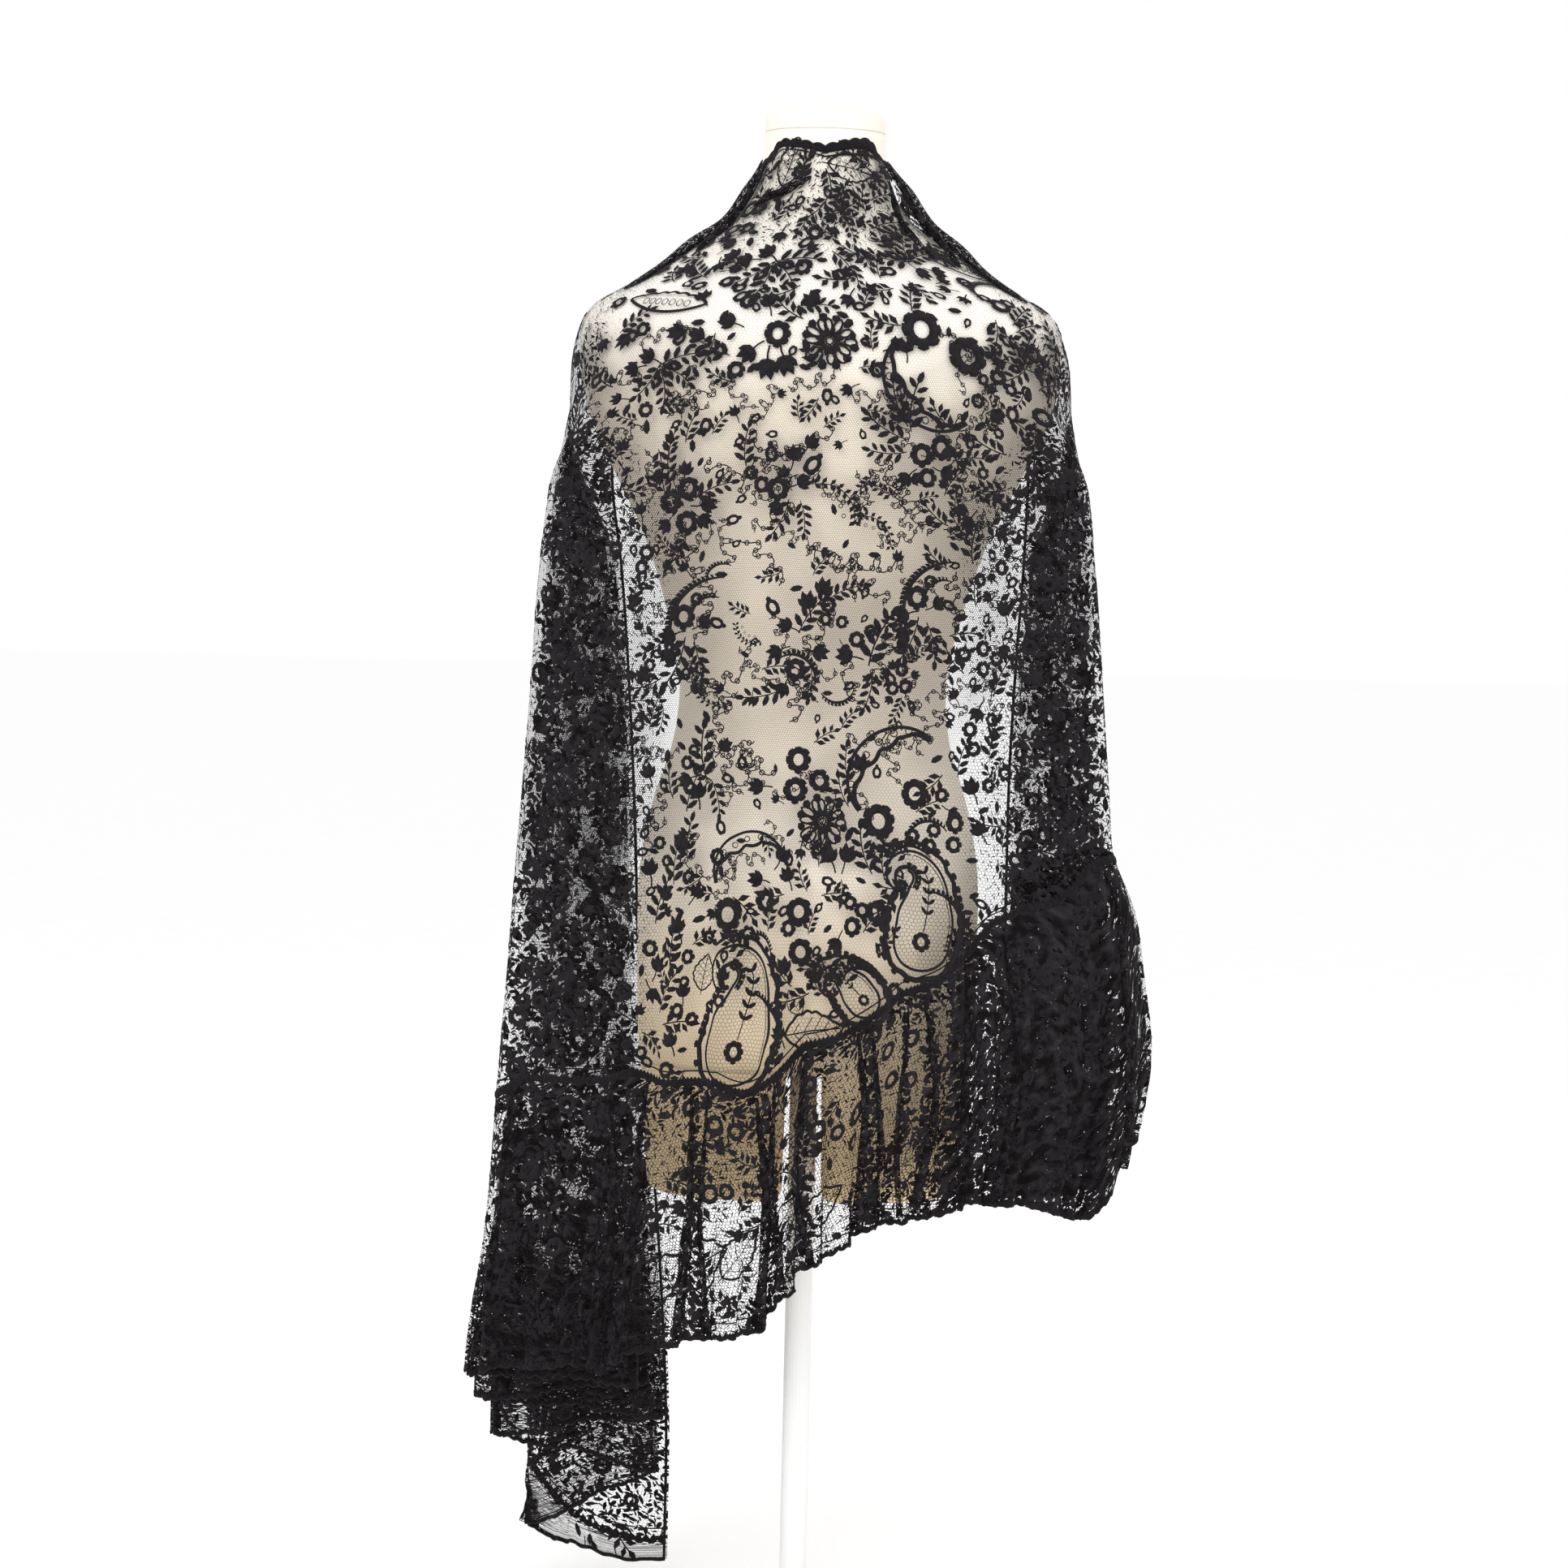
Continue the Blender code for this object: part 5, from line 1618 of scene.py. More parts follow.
def edges(material):
    """The corded edges: neck, seam, free fronts and hem, toothed, with small petals as picots."""
    rim = Stitching(field_chart)
    t = np.linspace(-0.999, 0.999, 1700)
    neck = neck_edge(t)
    bite = teeth(field_chart, t, neck)
    heavy = heavy_rim(t)
    rim.cord_on(t, neck - NECK_IN + NECK_TEETH * bite, NECK_CORD + NECK_CORD_MORE * heavy, RIM_RAISE)
    rim.cord_on(t, neck - NECK_LINE_IN - NECK_LINE_LOWER * heavy, NECK_LINE + NECK_LINE_MORE * heavy)
    seam = field_edge(t)
    bite = teeth(field_chart, t, seam)
    uneven = 1 + SEAM_UNEVEN * np.sin(41.0 * t) * np.sin(97.0 * t)
    rim.cord_on(t, seam + SEAM_IN - SEAM_TEETH * bite, SEAM_CORD * uneven, SEAM_RAISE)
    rim.cord_on(t, seam + SEAM_LINE_IN, SEAM_LINE)
    for end in (-END_OF_CLOTH, END_OF_CLOTH):
        z = np.linspace(float(field_edge(end)) + 0.001, float(neck_edge(end)) - 0.001, 300)
        rim.cord_on(np.full_like(z, end), z, END_CORD)
    leaf = Figure()
    leaf.leaves([(0, -0.0020, math.pi / 2, 0.0078, 0.0060)], PETAL)
    picots = np.linspace(-PICOT_END, PICOT_END, RIM_PICOTS)
    full = 0.60 + 0.45 * heavy_rim(picots)
    rim.stamp(leaf, picots, neck_edge(picots) - NECK_PICOT_IN, 0.0, full)
    rim.stamp(leaf, picots, field_edge(picots) + SEAM_PICOT_IN, math.pi)
    hem = Stitching(flounce_chart)
    t = np.linspace(-0.999, 0.999, 2600)
    low = np.full_like(t, HEM_IN)
    bite = teeth(flounce_chart, t, low)
    hem.cord_on(t, low + HEM_TEETH * (1 - bite), HEM_CORD, RIM_RAISE)
    hem.cord_on(t, np.full_like(t, HEM_LINE_IN), STEM_WIDTH)
    for end in (-END_OF_CLOTH, END_OF_CLOTH):
        w = np.linspace(0.0, 1.0, 60)
        hem.cord_on(np.full_like(w, end), w, END_CORD)
    picots = np.linspace(-PICOT_END, PICOT_END, HEM_PICOTS)
    hem.stamp(leaf, picots, np.full(HEM_PICOTS, HEM_PICOT_IN), math.pi, 0.9)
    return [
        add_piece("lace_edges", rim.mesh("lace_edges"), material, "black_lace"),
        add_piece("flounce_hem", hem.mesh("flounce_hem"), material, "black_lace"),
    ]


# Paisleys of the lower band: distance from the middle, height, turn in degrees, height of figure.
PAISLEYS = [
    (-0.056, 0.490, 0, 0.108),
    (0.090, 0.580, 4, 0.092),
    (0.046, 0.533, 62, 0.056),
]


FILLING_STEEPNESS = 200
LEAF_HALF_LENGTH, LEAF_HALF_WIDTH, LEAF_STEEPNESS = 0.024, 0.0125, 3


def own_axes(u, v, x, z, turn):
    """The cloth's lengths as a figure on the back sees them, from its foot and by its own turn."""
    foot_u, foot_v = field_chart.lengths(np.array([place_on_back(x, z)]), np.array([z]))
    return turned(u - foot_u, v - foot_v, -math.radians(turn))


def inside_paisley(u, v, row):
    """Above 0.5 inside a paisley's outline: the most that any disc on its spine reaches past a place."""
    x, z, turn, height = row
    a, b = own_axes(u, v, x, z, turn)
    line, half = paisley_spine(height)
    far = [radius - np.hypot(a - px, b - py) for (px, py), radius in zip(line, half)]
    return 0.5 + np.max(far, axis=0) * FILLING_STEEPNESS


def inside_leaf(u, v, row):
    """Above 0.5 inside a leaf medallion, taken as an ellipse."""
    x, z, turn, size = row
    a, b = own_axes(u, v, x, z, turn)
    reach = np.hypot(a / (LEAF_HALF_LENGTH * size), b / (LEAF_HALF_WIDTH * size))
    return 0.5 + (1 - reach) * LEAF_STEEPNESS


BAND_DEPTH = 0.165
NECK_BAND_DEPTH = 0.185
BAND_SCALLOP, BAND_SCALLOP_LENGTH = 0.020, 0.11
BAND_STEEPNESS = 45


def band_share(t, u, v):
    """1 in the border bands under the neck edge and over the lower edge, 0 in the field, wavy between."""
    low = field_chart.lengths(t, field_edge(t))[1]
    high = field_chart.lengths(t, neck_edge(t))[1]
    wave = BAND_SCALLOP * np.abs(np.sin(u * math.pi / BAND_SCALLOP_LENGTH))
    lower = BAND_DEPTH + wave - (v - low)
    upper = NECK_BAND_DEPTH + wave - (high - v)
    return 0.5 + np.maximum(lower, upper) * BAND_STEEPNESS


# Where the folds of the falls begin to lie close, in t: first sign and full.
FALL_START, FALL_FULL = 0.185, 0.235
# The loose strip before them: where it begins in t, and the heights over which it ends.
STRIP_START = 0.13
STRIP_TOP = (0.90, 0.97)
STRIP_GATHER, STRIP_SMALL = 0.62, 0.38
# The shoulders and the cloth by the neck: where each begins, and how full leaves and threads lie.
SHOULDER_FROM, SHOULDER_SIDE = (1.06, 1.12), (0.32, 0.46)
SHOULDER_CLOSE, SHOULDER_SMALL, SHOULDER_GATHER = 0.9, 0.7, 0.5
NECK_FROM = (1.10, 1.15)
NECK_CLOSE, NECK_SMALL = 0.35, 0.30
# For the first, second and further legs of the folds: how full large leaves, small leaves and
# threads lie there.
LEG_CLOSE = (1.00, 0.26, 0.08)
LEG_SMALL = (0.76, 0.20, 0.05)
LEG_GATHER = (0.40, 0.12, 0.00)
# Heights between which all the legs take the values of the first, and the same for the low tail.
SINGLE_FROM, SINGLE_FULL = 0.84, 0.99
TAIL_FULL, TAIL_FROM = 0.22, 0.36
TAIL_SHARE = 0.75
# The front layer's own values of the three, and where it begins, in t: low down and over the shoulders.
FRONT_CLOSE, FRONT_SMALL, FRONT_GATHER = 0.46, 0.32, 0.10
FRONT_LOW, FRONT_HIGH = (0.885, 0.910), (0.60, 0.70)
FRONT_RISE = (0.90, 1.00)
# The part at the right that lies double under the arm: its inner and outer edges in t, its top in z.
DOUBLED_EDGE, DOUBLED_END, DOUBLED_TOP = (0.118, 0.132), (0.27, 0.31), (0.578, 0.600)
DOUBLED_CLOSE, DOUBLED_SMALL, DOUBLED_GATHER = 1.5, 1.3, 1.8


def front_share(t, z):
    """1 on the layer that lies in front, above the low tail, and 0 elsewhere."""
    s = np.abs(t)
    above = np.maximum(ease(*FRONT_LOW, s), ease(*FRONT_HIGH, s) * ease(*FRONT_RISE, z))
    return above * ease(TAIL_FULL, TAIL_FROM, z)


def leg_of(t):
    """How many legs of the folds lie between the back and a place, in legs and parts of one."""
    return (np.abs(t) - BACK_SHARE) / (1 - BACK_SHARE) * LEGS


def by_leg(t, z, values, front):
    """A value for each leg of the folds, easing from one to the next near the turns. Over the
    shoulders and in the low tail, where few legs overlap, it nears the first leg's value. The layer
    in front has its own."""
    leg = leg_of(t)
    first_turn = ease(0.92, 1.08, leg)
    second_turn = ease(1.92, 2.08, leg)
    value = values[0] + (values[1] - values[0]) * first_turn + (values[2] - values[1]) * second_turn
    in_tail = TAIL_SHARE * (1 - ease(TAIL_FULL, TAIL_FROM, z))
    single = np.maximum(ease(SINGLE_FROM, SINGLE_FULL, z), in_tail)
    value = value + (values[0] - value) * single
    return value + (front - value) * front_share(t, z)


# Paler upright stretches of the falls, where folds overlap less, one row each: place across the fall
# from its inner edge (0) to the outline (1), half width, how much paler, and a number for its waves.
PALE_STREAKS = [
    (0.80, 0.17, 0.62, 1.1),
    (0.46, 0.07, 0.50, 2.3),
    (0.17, 0.08, 0.40, 3.9),
]
STREAK_WANDER = 0.05
STREAK_SIDES = (0.55, 1.25)
STREAKS_LEFT, STREAKS_RIGHT = 1.18, 0.86


def pale_streaks(t, z):
    """How much paler the falls are: upright stretches, the same on every leg, that wander and fade.
    There are none in the low tail."""
    place = 1 - np.abs(1 - np.mod(leg_of(t), 2))
    amount = np.where(t < 0, STREAKS_LEFT, STREAKS_RIGHT) * ease(TAIL_FULL, TAIL_FROM, z)
    most = np.zeros(np.broadcast(t, z).shape)
    for middle, half, depth, wave in PALE_STREAKS:
        wander = STREAK_WANDER * np.sin(9.0 * z + 2 * wave + np.sign(t))
        strength = amount * depth * (0.75 + 0.25 * np.sin(6.5 * z + 3 * wave + 1.7 * np.sign(t)))
        far = np.abs(place - middle - wander) / half
        most = np.maximum(most, strength * (1 - ease(*STREAK_SIDES, far)))
    return most


def doubled(t, z):
    """1 on the part at the right that lies double."""
    return ease(*DOUBLED_EDGE, t) * (1 - ease(*DOUBLED_TOP, z)) * (1 - ease(*DOUBLED_END, t))


# Over the shoulders the falls fade by this much, over these heights, and begin further out in t.
SHOULDER_FADE, FADE_FROM = 0.72, (1.025, 1.075)
UPPER_SHIFT = 0.10
UPPER_FROM, UPPER_FULL = 0.955, 1.03
STRETCHES = ("back", "left_side", "left_front", "right_side", "right_front")
FIELD_COLUMNS, FIELD_ROWS = 441, 190
FILLED_REACH, UNFILLED = 0.45, -9.0


def fall_share(t, z):
    """0 on the back and 1 on the falls, which begin further out over the shoulders."""
    shift = UPPER_SHIFT * ease(UPPER_FROM, UPPER_FULL, z)
    return ease(FALL_START, FALL_FULL, np.abs(t) - shift)


def lace_field(material):
    """The lace field as one sheet: rows at even lengths down each column, columns even in t."""
    t = np.linspace(-1, 1, FIELD_COLUMNS)
    low = field_chart.lengths(t, field_edge(t))[1]
    high = field_chart.lengths(t, neck_edge(t))[1]
    share = np.linspace(0, 1, FIELD_ROWS)[:, None]
    v = low + (high - low) * share
    t = np.broadcast_to(t, v.shape)
    z = look(field_chart.w_at, field_chart.x_of(t), v / field_chart.v_high * (field_chart.rows - 1))
    z[0], z[-1] = field_edge(t[0]), neck_edge(t[-1])
    points = lace_point(t, z)
    mesh = make_mesh("lace_field", points.reshape(-1, 3), quads=grid_quads(FIELD_ROWS, FIELD_COLUMNS))
    u, v = field_chart.lengths(t, z)
    filling = np.full(u.shape, UNFILLED)
    for row in PAISLEYS:
        filling = np.maximum(filling, inside_paisley(u, v, row))
    for row in BACK_FIGURES["leaf"]:
        filling = np.maximum(filling, inside_leaf(u, v, row))
    filling = np.where(np.abs(t) < FILLED_REACH, filling, UNFILLED)
    fade = SHOULDER_FADE * ease(*FADE_FROM, z) * (1 - front_share(t, z))
    fall = fall_share(t, z)
    strip = ease(STRIP_START, FALL_START, np.abs(t)) * (1 - fall) * (1 - ease(*STRIP_TOP, z))
    shoulder = ease(*SHOULDER_FROM, z) * ease(*SHOULDER_SIDE, np.abs(t))
    by_neck = ease(*NECK_FROM, z) * (1 - shoulder)
    dark = doubled(t, z)
    layered = fall * (1 - fade) * (1 - pale_streaks(t, z))
    close = [SHOULDER_CLOSE * shoulder, NECK_CLOSE * by_neck, DOUBLED_CLOSE * dark]
    close.append(by_leg(t, z, LEG_CLOSE, FRONT_CLOSE) * layered)
    small = [SHOULDER_SMALL * shoulder, NECK_SMALL * by_neck, DOUBLED_SMALL * dark, STRIP_SMALL * strip]
    small.append(by_leg(t, z, LEG_SMALL, FRONT_SMALL) * layered)
    gather = [SHOULDER_GATHER * shoulder, STRIP_GATHER * strip, DOUBLED_GATHER * dark]
    gather.append(by_leg(t, z, LEG_GATHER, FRONT_GATHER) * layered)
    set_cloth(mesh, u, v, band_share(t, u, v), filling, np.max(gather, 0), np.max(close, 0), np.max(small, 0))
    return add_piece("lace_field", mesh, material, "black_lace", *[f"field_{name}" for name in STRETCHES])


def set_cloth(mesh, u, v, *numbers):
    """The cloth's own UV map in metres, and the numbers in FILLINGS that choose its net at each point."""
    index = np.zeros(len(mesh.loops), np.int32)
    mesh.loops.foreach_get("vertex_index", index)
    flat = np.stack([u.ravel(), v.ravel()], axis=1)
    layer = mesh.uv_layers.new(name="cloth")
    layer.data.foreach_set("uv", flat[index].astype(np.float32).ravel())
    for name, values in zip(FILLINGS, numbers):
        made = mesh.attributes.new(name, "FLOAT", "POINT")
        values = np.clip(np.broadcast_to(values, np.shape(u)), *NUMBER_RANGE)
        made.data.foreach_set("value", values.astype(np.float32).ravel())


FLOUNCE_COLUMNS, FLOUNCE_ROWS = 1281, 24
SEAM_GATHER_DEPTH = 0.22
STEEP_RANGE = 1.1
# How full leaves and threads lie on the flounce: everywhere, by its seam, and where a gather turns.
FLOUNCE_CLOSE, FLOUNCE_SMALL, FLOUNCE_GATHER = 0.28, 0.30, 0.65
SEAM_CLOSE, SEAM_SMALL = 0.62, 0.9
STEEP_CLOSE, STEEP_GATHER = 0.20, 0.7
# Round the large leaves by the hem it is clearer, between these shares of the flounce's depth.
CLEAR_FROM, CLEAR_TO, CLEAR_SHARE = (0.10, 0.22), (0.40, 0.55), 0.45
FLOUNCE_LEG_SHARE = 0.8
DOUBLED_HEIGHT = 0.5
# Stretches of the flounce where its gathers lie double, one row each: t at the seam, t at the hem,
# half width in t at the seam and at the hem.
PLEAT_BANDS = [
    (-0.190, -0.194, 0.006, 0.009),
    (-0.152, -0.160, 0.005, 0.010),
    (-0.104, -0.098, 0.005, 0.011),
    (-0.036, -0.027, 0.006, 0.014),
    (0.000, 0.005, 0.004, 0.006),
    (0.054, 0.063, 0.005, 0.0065),
    (0.086, 0.083, 0.002, 0.003),
    (0.107, 0.111, 0.004, 0.005),
    (0.262, 0.268, 0.006, 0.012),
    (-0.262, -0.255, 0.006, 0.012),
    (0.470, 0.480, 0.008, 0.014),
    (-0.480, -0.470, 0.008, 0.014),
    (0.710, 0.700, 0.007, 0.012),
    (-0.690, -0.702, 0.008, 0.013),
    (0.905, 0.915, 0.007, 0.010),
    (-0.900, -0.890, 0.006, 0.011),
]
BAND_WANDER = 0.0035
BAND_SIDES = (0.65, 1.15)
BAND_CLOSE, BAND_SMALL, BAND_GATHER = 1.15, 1.0, 1.3


def pleat_bands(t, share):
    """1 along the middle of each doubled stretch, with soft edges that wander to and fro."""
    down = 1 - share
    most = np.zeros(np.broadcast(t, share).shape)
    for t_seam, t_hem, half_seam, half_hem in PLEAT_BANDS:
        wander = BAND_WANDER * np.sin(7.0 * down + 60 * t_seam) * down
        middle = t_seam + (t_hem - t_seam) * down + wander
        half = (half_seam + (half_hem - half_seam) * down) * (1 + 0.25 * np.sin(11.0 * down + 90 * t_hem))
        most = np.maximum(most, 1 - ease(*BAND_SIDES, np.abs(t - middle) / half))
    return most


def lace_flounce(material):
    """The gathered flounce as one sheet from its seam to its hem. Its threads lie closer where a
    gather turns away from the smooth line of the cloth, and just under the seam."""
    t = np.linspace(-1, 1, FLOUNCE_COLUMNS)[None, :]
    share = np.linspace(0, 1, FLOUNCE_ROWS)[:, None]
    t, share = np.broadcast_arrays(t, share)
    points = flounce_point(t, share)
    quads = grid_quads(FLOUNCE_ROWS, FLOUNCE_COLUMNS)
    mesh = make_mesh("lace_flounce", points.reshape(-1, 3), quads=quads)
    u, v = flounce_chart.lengths(t, share)
    normal = flounce_chart.at(t, share)[1]
    z = points[..., 2]
    facing = np.abs(np.sum(normal * outward(t, z), axis=-1))
    steep = np.clip((1 / np.maximum(facing, 0.2) - 1) / STEEP_RANGE, 0, 1)
    near_seam = 1 - ease(0.0, SEAM_GATHER_DEPTH, 1 - share)
    fall = fall_share(t, z)
    clear = 1 - CLEAR_SHARE * ease(*CLEAR_FROM, share) * (1 - ease(*CLEAR_TO, share))
    bands = pleat_bands(t, share)
    dark = doubled(t, DOUBLED_HEIGHT)
    even = 1 - pale_streaks(t, z) * fall
    layered = FLOUNCE_LEG_SHARE * fall * even
    close = (FLOUNCE_CLOSE + SEAM_CLOSE * near_seam + STEEP_CLOSE * steep) * clear * (1 - fall)
    close += by_leg(t, z, LEG_CLOSE, FRONT_CLOSE) * layered
    close = [close, BAND_CLOSE * bands, DOUBLED_CLOSE * dark]
    small = [SEAM_SMALL * near_seam, FLOUNCE_SMALL * (1 - fall), BAND_SMALL * bands, DOUBLED_SMALL * dark]
    small.append(by_leg(t, z, LEG_SMALL, FRONT_SMALL) * layered)
    gather = [FLOUNCE_GATHER + STEEP_GATHER * steep, near_seam, by_leg(t, z, LEG_GATHER, FRONT_GATHER) * fall]
    gather = [np.max(gather, 0) * even, BAND_GATHER * bands, DOUBLED_GATHER * dark]
    set_cloth(mesh, u, v, 1.0, -1.0, np.max(gather, 0), np.max(close, 0), np.max(small, 0))
    return add_piece("lace_flounce", mesh, material, "black_lace", *[f"flounce_{name}" for name in STRETCHES])


# Folds rolled over round the neck and the shoulders: half width of each, its height, and its course
# as rows of t and z.
NECK_FOLDS = [
    (
        0.0110,
        0.0040,
        [(-0.64, 1.200), (-0.61, 1.178), (-0.55, 1.152), (-0.49, 1.131), (-0.455, 1.113), (-0.43, 1.092)],
    ),
    (0.0050, 0.0030, [(-0.45, 1.196), (-0.43, 1.172), (-0.40, 1.150), (-0.36, 1.133), (-0.33, 1.121)]),
    (0.0035, 0.0030, [(-0.285, 1.160), (-0.20, 1.167), (-0.12, 1.174), (-0.055, 1.183)]),
    (
        0.0110,
        0.0040,
        [(0.55, 1.200), (0.53, 1.176), (0.51, 1.152), (0.475, 1.130), (0.45, 1.111), (0.42, 1.088)],
    ),
    (0.0055, 0.0032, [(0.44, 1.198), (0.42, 1.170), (0.385, 1.146), (0.35, 1.128), (0.32, 1.114)]),
    (0.0030, 0.0024, [(0.30, 1.182), (0.24, 1.160), (0.22, 1.138), (0.24, 1.118)]),
]


FOLD_SINK, FOLD_SWELL, FOLD_SPREAD = 0.35, 0.14, 5
OPEN_FOLD_START = 0.30


def fold_tube(chart, course, half_width, height, open_end=False, steps=46, sides=12):
    """A rolled fold along a course on the cloth: a flat tube, raised over the cloth, drawn in at both
    ends, or widening to an open end. Across it lies normal x way."""
    course = np.array(course)
    stations = np.linspace(0, 1, len(course))
    at = np.linspace(0, 1, steps)
    t, z = smooth_column(at, stations, course[:, 0]), smooth_column(at, stations, course[:, 1])
    place, normal = chart.at(t, z)
    way = np.gradient(place, axis=0)
    length = np.cumsum(np.linalg.norm(way, axis=1))
    left = unit(np.cross(normal, unit(way)))
    if open_end:
        swell = OPEN_FOLD_START + (1 - OPEN_FOLD_START) * at**0.7
    else:
        swell = np.sqrt(np.sin(np.pi * np.clip(at, 0.004, 0.996)))
    swell = swell * (1 + FOLD_SWELL * np.sin(17 * at + 900 * half_width))
    turn = np.linspace(0, 2 * np.pi, sides, endpoint=False)
    out = (FOLD_SINK + np.sin(turn))[None, :, None] * (height * swell)[:, None, None] * normal[:, None, :]
    across = np.cos(turn)[None, :, None] * (half_width * swell)[:, None, None] * left[:, None, :]
    rings = place[:, None, :] + across + out
    u = np.broadcast_to(turn / (2 * np.pi) * half_width * FOLD_SPREAD, (steps, sides))
    v = np.broadcast_to(length[:, None], (steps, sides))
    return rings, u, v


# Pleats of the flounce that double over, one row each: t at the seam, half way and at the hem, and
# half width and height at the hem.
PLEAT_FOLDS = [
    (-0.186, -0.180, -0.193, 0.0040, 0.0045),
    (-0.150, -0.158, -0.154, 0.0045, 0.0050),
    (-0.109, -0.101, -0.107, 0.0042, 0.0050),
    (-0.092, -0.094, -0.086, 0.0030, 0.0040),
    (-0.044, -0.036, -0.040, 0.0048, 0.0055),
    (-0.028, -0.024, -0.015, 0.0036, 0.0050),
    (0.002, -0.002, 0.008, 0.0034, 0.0040),
    (0.046, 0.055, 0.053, 0.0044, 0.0055),
    (0.058, 0.064, 0.072, 0.0032, 0.0045),
    (0.088, 0.083, 0.086, 0.0026, 0.0036),
    (0.104, 0.112, 0.106, 0.0040, 0.0055),
    (0.140, 0.137, 0.148, 0.0044, 0.0050),
    (0.176, 0.183, 0.180, 0.0040, 0.0050),
    (0.264, 0.258, 0.270, 0.0044, 0.0050),
    (-0.262, -0.266, -0.254, 0.0044, 0.0050),
    (0.474, 0.482, 0.478, 0.0040, 0.0040),
    (-0.480, -0.470, -0.474, 0.0040, 0.0040),
    (0.708, 0.714, 0.700, 0.0040, 0.0040),
    (-0.692, -0.700, -0.698, 0.0040, 0.0035),
    (0.908, 0.902, 0.915, 0.0040, 0.0035),
    (-0.898, -0.892, -0.896, 0.0036, 0.0035),
]
PLEAT_TOP, PLEAT_FOOT = 0.985, 0.030


FOLD_GATHER, NECK_FOLD_CLOSE, PLEAT_FOLD_CLOSE = 0.8, 0.78, 0.7


def folds_piece(name, material, tubes, close):
    """Rolled folds as closed tubes of the same lace, in one piece."""
    points, quads, u, v, count = [], [], [], [], 0
    for rings, along, up in tubes:
        steps, sides = along.shape
        faces = grid_quads(steps, sides, closed=True)
        last = (steps - 1) * sides
        ends = [[0, k + 2, k + 1, k] for k in range(1, sides - 1, 2)]
        ends += [[last + i for i in reversed(row)] for row in ends]
        quads.append(np.concatenate([faces, np.array(ends)]) + count)
        points.append(rings.reshape(-1, 3))
        u.append(along.ravel())
        v.append(up.ravel())
        count += steps * sides
    mesh = make_mesh(name, np.concatenate(points), quads=np.concatenate(quads))
    set_cloth(mesh, np.concatenate(u), np.concatenate(v), 0.0, -1.0, FOLD_GATHER, close, close)
    return add_piece(name, mesh, material, "black_lace")


def neck_folds(material):
    """The folds rolled over round the neck and the shoulders."""
    tubes = [fold_tube(field_chart, course, half, height) for half, height, course in NECK_FOLDS]
    return folds_piece("neck_folds", material, tubes, NECK_FOLD_CLOSE)


def pleat_folds(material):
    """The flounce's pleats that double over, each from just under the seam to just over the hem."""
    tubes = []
    for t_seam, t_middle, t_hem, half, height in PLEAT_FOLDS:
        course = [(t_seam, PLEAT_TOP), (t_middle, 0.5), (t_hem, PLEAT_FOOT)]
        tubes.append(fold_tube(flounce_chart, course, half, height, open_end=True, steps=30))
    return folds_piece("flounce_pleats", material, tubes, PLEAT_FOLD_CLOSE)


# The form


def form_outline(angle, z, inset=0.0):
    """A ring of the form: a superellipse whose sizes come from FORM_LEVELS, anticlockwise from above."""
    half_width, back, front, power = (column(FORM_LEVELS, i, z) for i in (1, 2, 3, 4))
    sine, cosine = np.sin(angle), np.cos(angle)
    x = (half_width - inset) * np.sign(sine) * np.abs(sine) ** (2 / power)
    reach = np.where(cosine > 0, back, front) - inset
    y = -reach * np.sign(cosine) * np.abs(cosine) ** (2 / power)
    return x, y


def closed_stack(name, rings):
    """A closed mesh from rings that go up, each end closed with one flat face."""
    rows, columns = rings.shape[:2]
    faces = grid_quads(rows, columns, closed=True).tolist()
    faces.append(tuple(reversed(range(columns))))
    faces.append(tuple((rows - 1) * columns + c for c in range(columns)))
    mesh = bpy.data.meshes.new(name)
    mesh.from_pydata(rings.reshape(-1, 3).tolist(), [], faces)
    mesh.update()
    mesh.shade_smooth()
    return mesh


def torso_rings():
    """Rings of the torso from the top of the thigh gap to the neck."""
    angle = np.linspace(0, 2 * np.pi, 112, endpoint=False)
    z = np.linspace(THIGH_GAP_TOP, NECK_TOP, 150)[:, None]
    x, y = form_outline(angle[None, :], z)
    return np.stack([x, y, np.broadcast_to(z, x.shape)], axis=-1)


THIGH_ROLL, THIGH_DRAWN_IN = 0.010, 0.17
THIGH_LOW, THIGH_TOP = 0.380, 0.474
THIGH_OUTER, THIGH_INNER = 56, 24


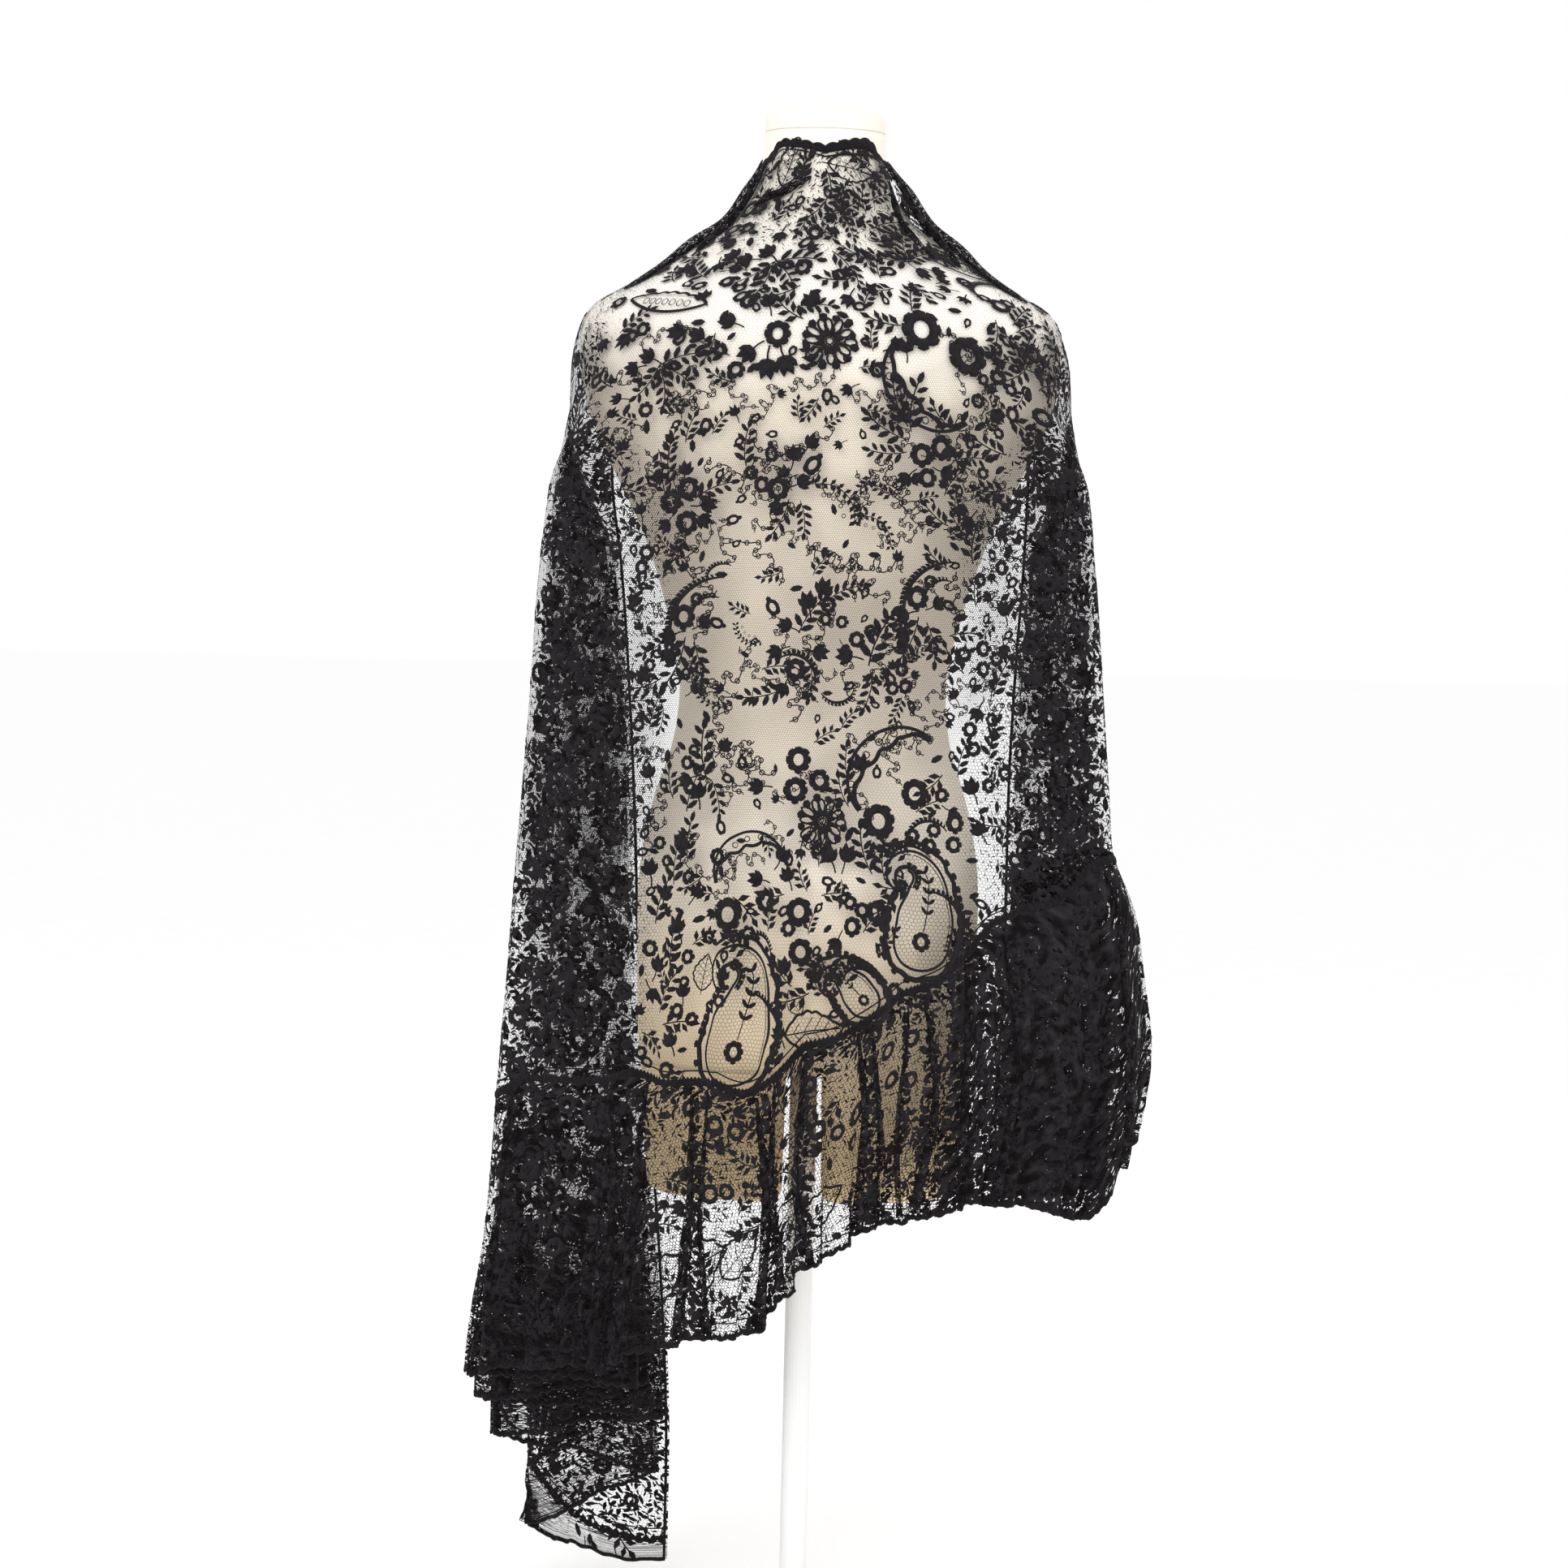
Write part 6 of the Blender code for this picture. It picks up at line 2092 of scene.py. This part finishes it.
def thigh_rings(side):
    """Rings of one thigh end: the form's own outline cut at the gap, corners eased by averaging each
    point with its neighbours, and the lowest rings drawn in to a rounded rim."""
    rim = FORM_BOTTOM + THIGH_ROLL * (1 - np.cos(np.linspace(0, np.pi / 2, 9)))
    z = np.concatenate([rim, np.linspace(THIGH_LOW, THIGH_TOP, 24)])
    rings = []
    for height in z:
        gap = np.interp(height, [FORM_BOTTOM, THIGH_GAP_TOP], [THIGH_GAP_WIDE, THIGH_GAP_NARROW]) / 2
        angle = np.linspace(0, np.pi, 400)
        x, y = form_outline(angle, np.full_like(angle, height), GAP)
        keep = x > gap
        x, y = x[keep], y[keep]
        outer = np.linspace(0, len(x) - 1, THIGH_OUTER)
        x, y = (np.interp(outer, np.arange(len(x)), part) for part in (x, y))
        inner = np.linspace(y[-1], y[0], THIGH_INNER + 2)[1:-1]
        ring = np.stack([np.append(x, np.full(THIGH_INNER, gap)), np.append(y, inner)], axis=1)
        for _ in range(5):
            ring = (np.roll(ring, 1, axis=0) + 2 * ring + np.roll(ring, -1, axis=0)) / 4
        rings.append(np.column_stack([ring, np.full(len(ring), height)]))
    rings = np.array(rings)
    middle = rings.mean(axis=1, keepdims=True)
    low = np.clip(1 - (z - FORM_BOTTOM) / THIGH_ROLL, 0, 1)[:, None, None]
    shrink = 1 - THIGH_DRAWN_IN * (1 - np.sqrt(np.clip(1 - low**2, 0, 1)))
    rings[..., :2] = middle[..., :2] + (rings[..., :2] - middle[..., :2]) * shrink
    if side < 0:
        rings = rings * (-1, 1, 1)
        rings = rings[:, ::-1]
    return rings


def merged_mesh(name, parts):
    """One mesh from several closed ones."""
    points, faces, offset = [], [], 0
    for part in parts:
        points += [tuple(v.co) for v in part.vertices]
        faces += [tuple(i + offset for i in f.vertices) for f in part.polygons]
        offset = len(points)
        bpy.data.meshes.remove(part)
    mesh = bpy.data.meshes.new(name)
    mesh.from_pydata(points, [], faces)
    mesh.update()
    mesh.shade_smooth()
    return mesh


# The cap from its foot to its crown: share, radius and rise as shares of the neck's and its own.
CAP_PROFILE = [
    (0.00, 1.000, 0.000),
    (0.30, 1.000, 0.420),
    (0.50, 0.965, 0.700),
    (0.72, 0.820, 0.890),
    (0.90, 0.500, 0.975),
    (1.00, 0.060, 0.985),
]
CAP_ROWS, CAP_COLUMNS = 26, 96


def build_form():
    """The torso with its two short thigh ends, and the domed cap of the neck."""
    jersey = jersey_material()
    parts = [closed_stack("torso", torso_rings())]
    parts += [closed_stack("thigh", thigh_rings(side)) for side in (-1, 1)]
    add_piece("jersey_torso", merged_mesh("jersey_torso", parts), jersey, "ivory_form", "form_torso")
    share = np.linspace(0, 1, CAP_ROWS)[:, None]
    radius, rise = column(CAP_PROFILE, 1, share), column(CAP_PROFILE, 2, share)
    angle = np.linspace(0, 2 * np.pi, CAP_COLUMNS, endpoint=False)
    x, y = form_outline(angle, np.full_like(angle, NECK_TOP))
    z = np.broadcast_to(NECK_TOP + GAP + NECK_CAP_RISE * rise, (CAP_ROWS, CAP_COLUMNS))
    rings = np.stack([radius * x, radius * y, z], axis=-1)
    cap = paint_material("cream_cap", (0.885, 0.835, 0.745, 1), 0.5, 500.0)
    add_piece("domed_cap", closed_stack("domed_cap", rings), cap, "white_cap", "neck_cap")


def paint_stand():
    """The stand's own solids keep their shape and get white paint."""
    paint = paint_material("white_paint", (0.86, 0.86, 0.85, 1), 0.34, 900.0)
    for name in ("stand_base", "stand_flange", "stand_pole"):
        node_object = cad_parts[name]
        for held in node_object.material_slots:
            held.material = paint


# Camera, light and floor


def place_camera():
    """A camera on a ring round the target, rolled as the photo is."""
    level = np.array([0.0, math.cos(CAMERA_ELEVATION), -math.sin(CAMERA_ELEVATION)])
    right = np.array([1.0, 0.0, 0.0])
    up = np.cross(right, level)
    turned_right = right * math.cos(CAMERA_ROLL) + up * math.sin(CAMERA_ROLL)
    turned_up = up * math.cos(CAMERA_ROLL) - right * math.sin(CAMERA_ROLL)
    place = np.eye(4)
    place[:3, 0], place[:3, 1], place[:3, 2] = turned_right, turned_up, -level
    place[:3, 3] = CAMERA_TARGET - level * CAMERA_DISTANCE
    data = bpy.data.cameras.new("camera")
    data.lens, data.sensor_width = CAMERA_LENS, 36.0
    data.shift_x, data.shift_y = CAMERA_SHIFT
    data.clip_end = 60.0
    camera = bpy.data.objects.new("camera", data)
    camera.matrix_world = Matrix(place.tolist())
    bpy.context.scene.collection.objects.link(camera)
    bpy.context.scene.camera = camera


def area_light(name, place, target, size, power):
    """A square soft light aimed at a point."""
    data = bpy.data.lights.new(name, "AREA")
    data.shape, data.size, data.energy = "SQUARE", size, power
    light = bpy.data.objects.new(name, data)
    bpy.context.scene.collection.objects.link(light)
    light.location = place
    light.rotation_euler = (Vector(target) - Vector(place)).to_track_quat("-Z", "Y").to_euler()


def light_the_scene():
    """A white room, with a large soft key, a fill and a weak light from behind."""
    world = bpy.data.worlds.new("studio")
    bpy.context.scene.world = world
    world.use_nodes = True
    tree = world.node_tree
    background = tree.nodes["Background"]
    background.inputs["Color"].default_value = (1.0, 1.0, 1.0, 1.0)
    area_light("key", (-1.0, -3.0, 2.4), (0, 0, 0.85), 1.8, 40.0)
    area_light("fill", (2.2, -2.2, 1.4), (0, 0, 0.7), 1.6, 12.0)
    area_light("behind", (0.5, 3.0, 2.2), (0, 0, 0.7), 2.0, 10.0)


def lay_floor():
    """A plain pale floor."""
    half = 30.0
    points = np.array([(-half, -half, 0), (half, -half, 0), (half, half, 0), (-half, half, 0)])
    mesh = make_mesh("floor", points, quads=np.array([(0, 1, 2, 3)]), smooth=False)
    paint = paint_material("pale_floor", (0.998, 0.998, 0.998, 1), 0.9, 40.0)
    mesh.materials.append(paint)
    floor = bpy.data.objects.new("floor", mesh)
    bpy.context.scene.collection.objects.link(floor)


def main():
    """Builds the scene and the dressed part."""
    scene = bpy.context.scene
    scene.view_settings.view_transform = "Standard"
    scene.cycles.transparent_max_bounces = 40
    place_camera()
    light_the_scene()
    lay_floor()
    build_form()
    paint_stand()
    net = net_material("lace_net")
    clothwork = thread_material("lace_clothwork", LACE_BLACK, LACE_GREY, 420.0)
    cord = thread_material("lace_cord", (0.0045, 0.0038, 0.0042, 1), (0.017, 0.0148, 0.0165, 1), 600.0)
    shapes = figures()
    field = lace_field(net)
    flounce = lace_flounce(net)
    field_parts = field_pattern(clothwork, shapes)
    flounce_figures = flounce_pattern(clothwork, shapes)
    rim, hem = edges(cord)
    folds, pleats = neck_folds(net), pleat_folds(net)


main()
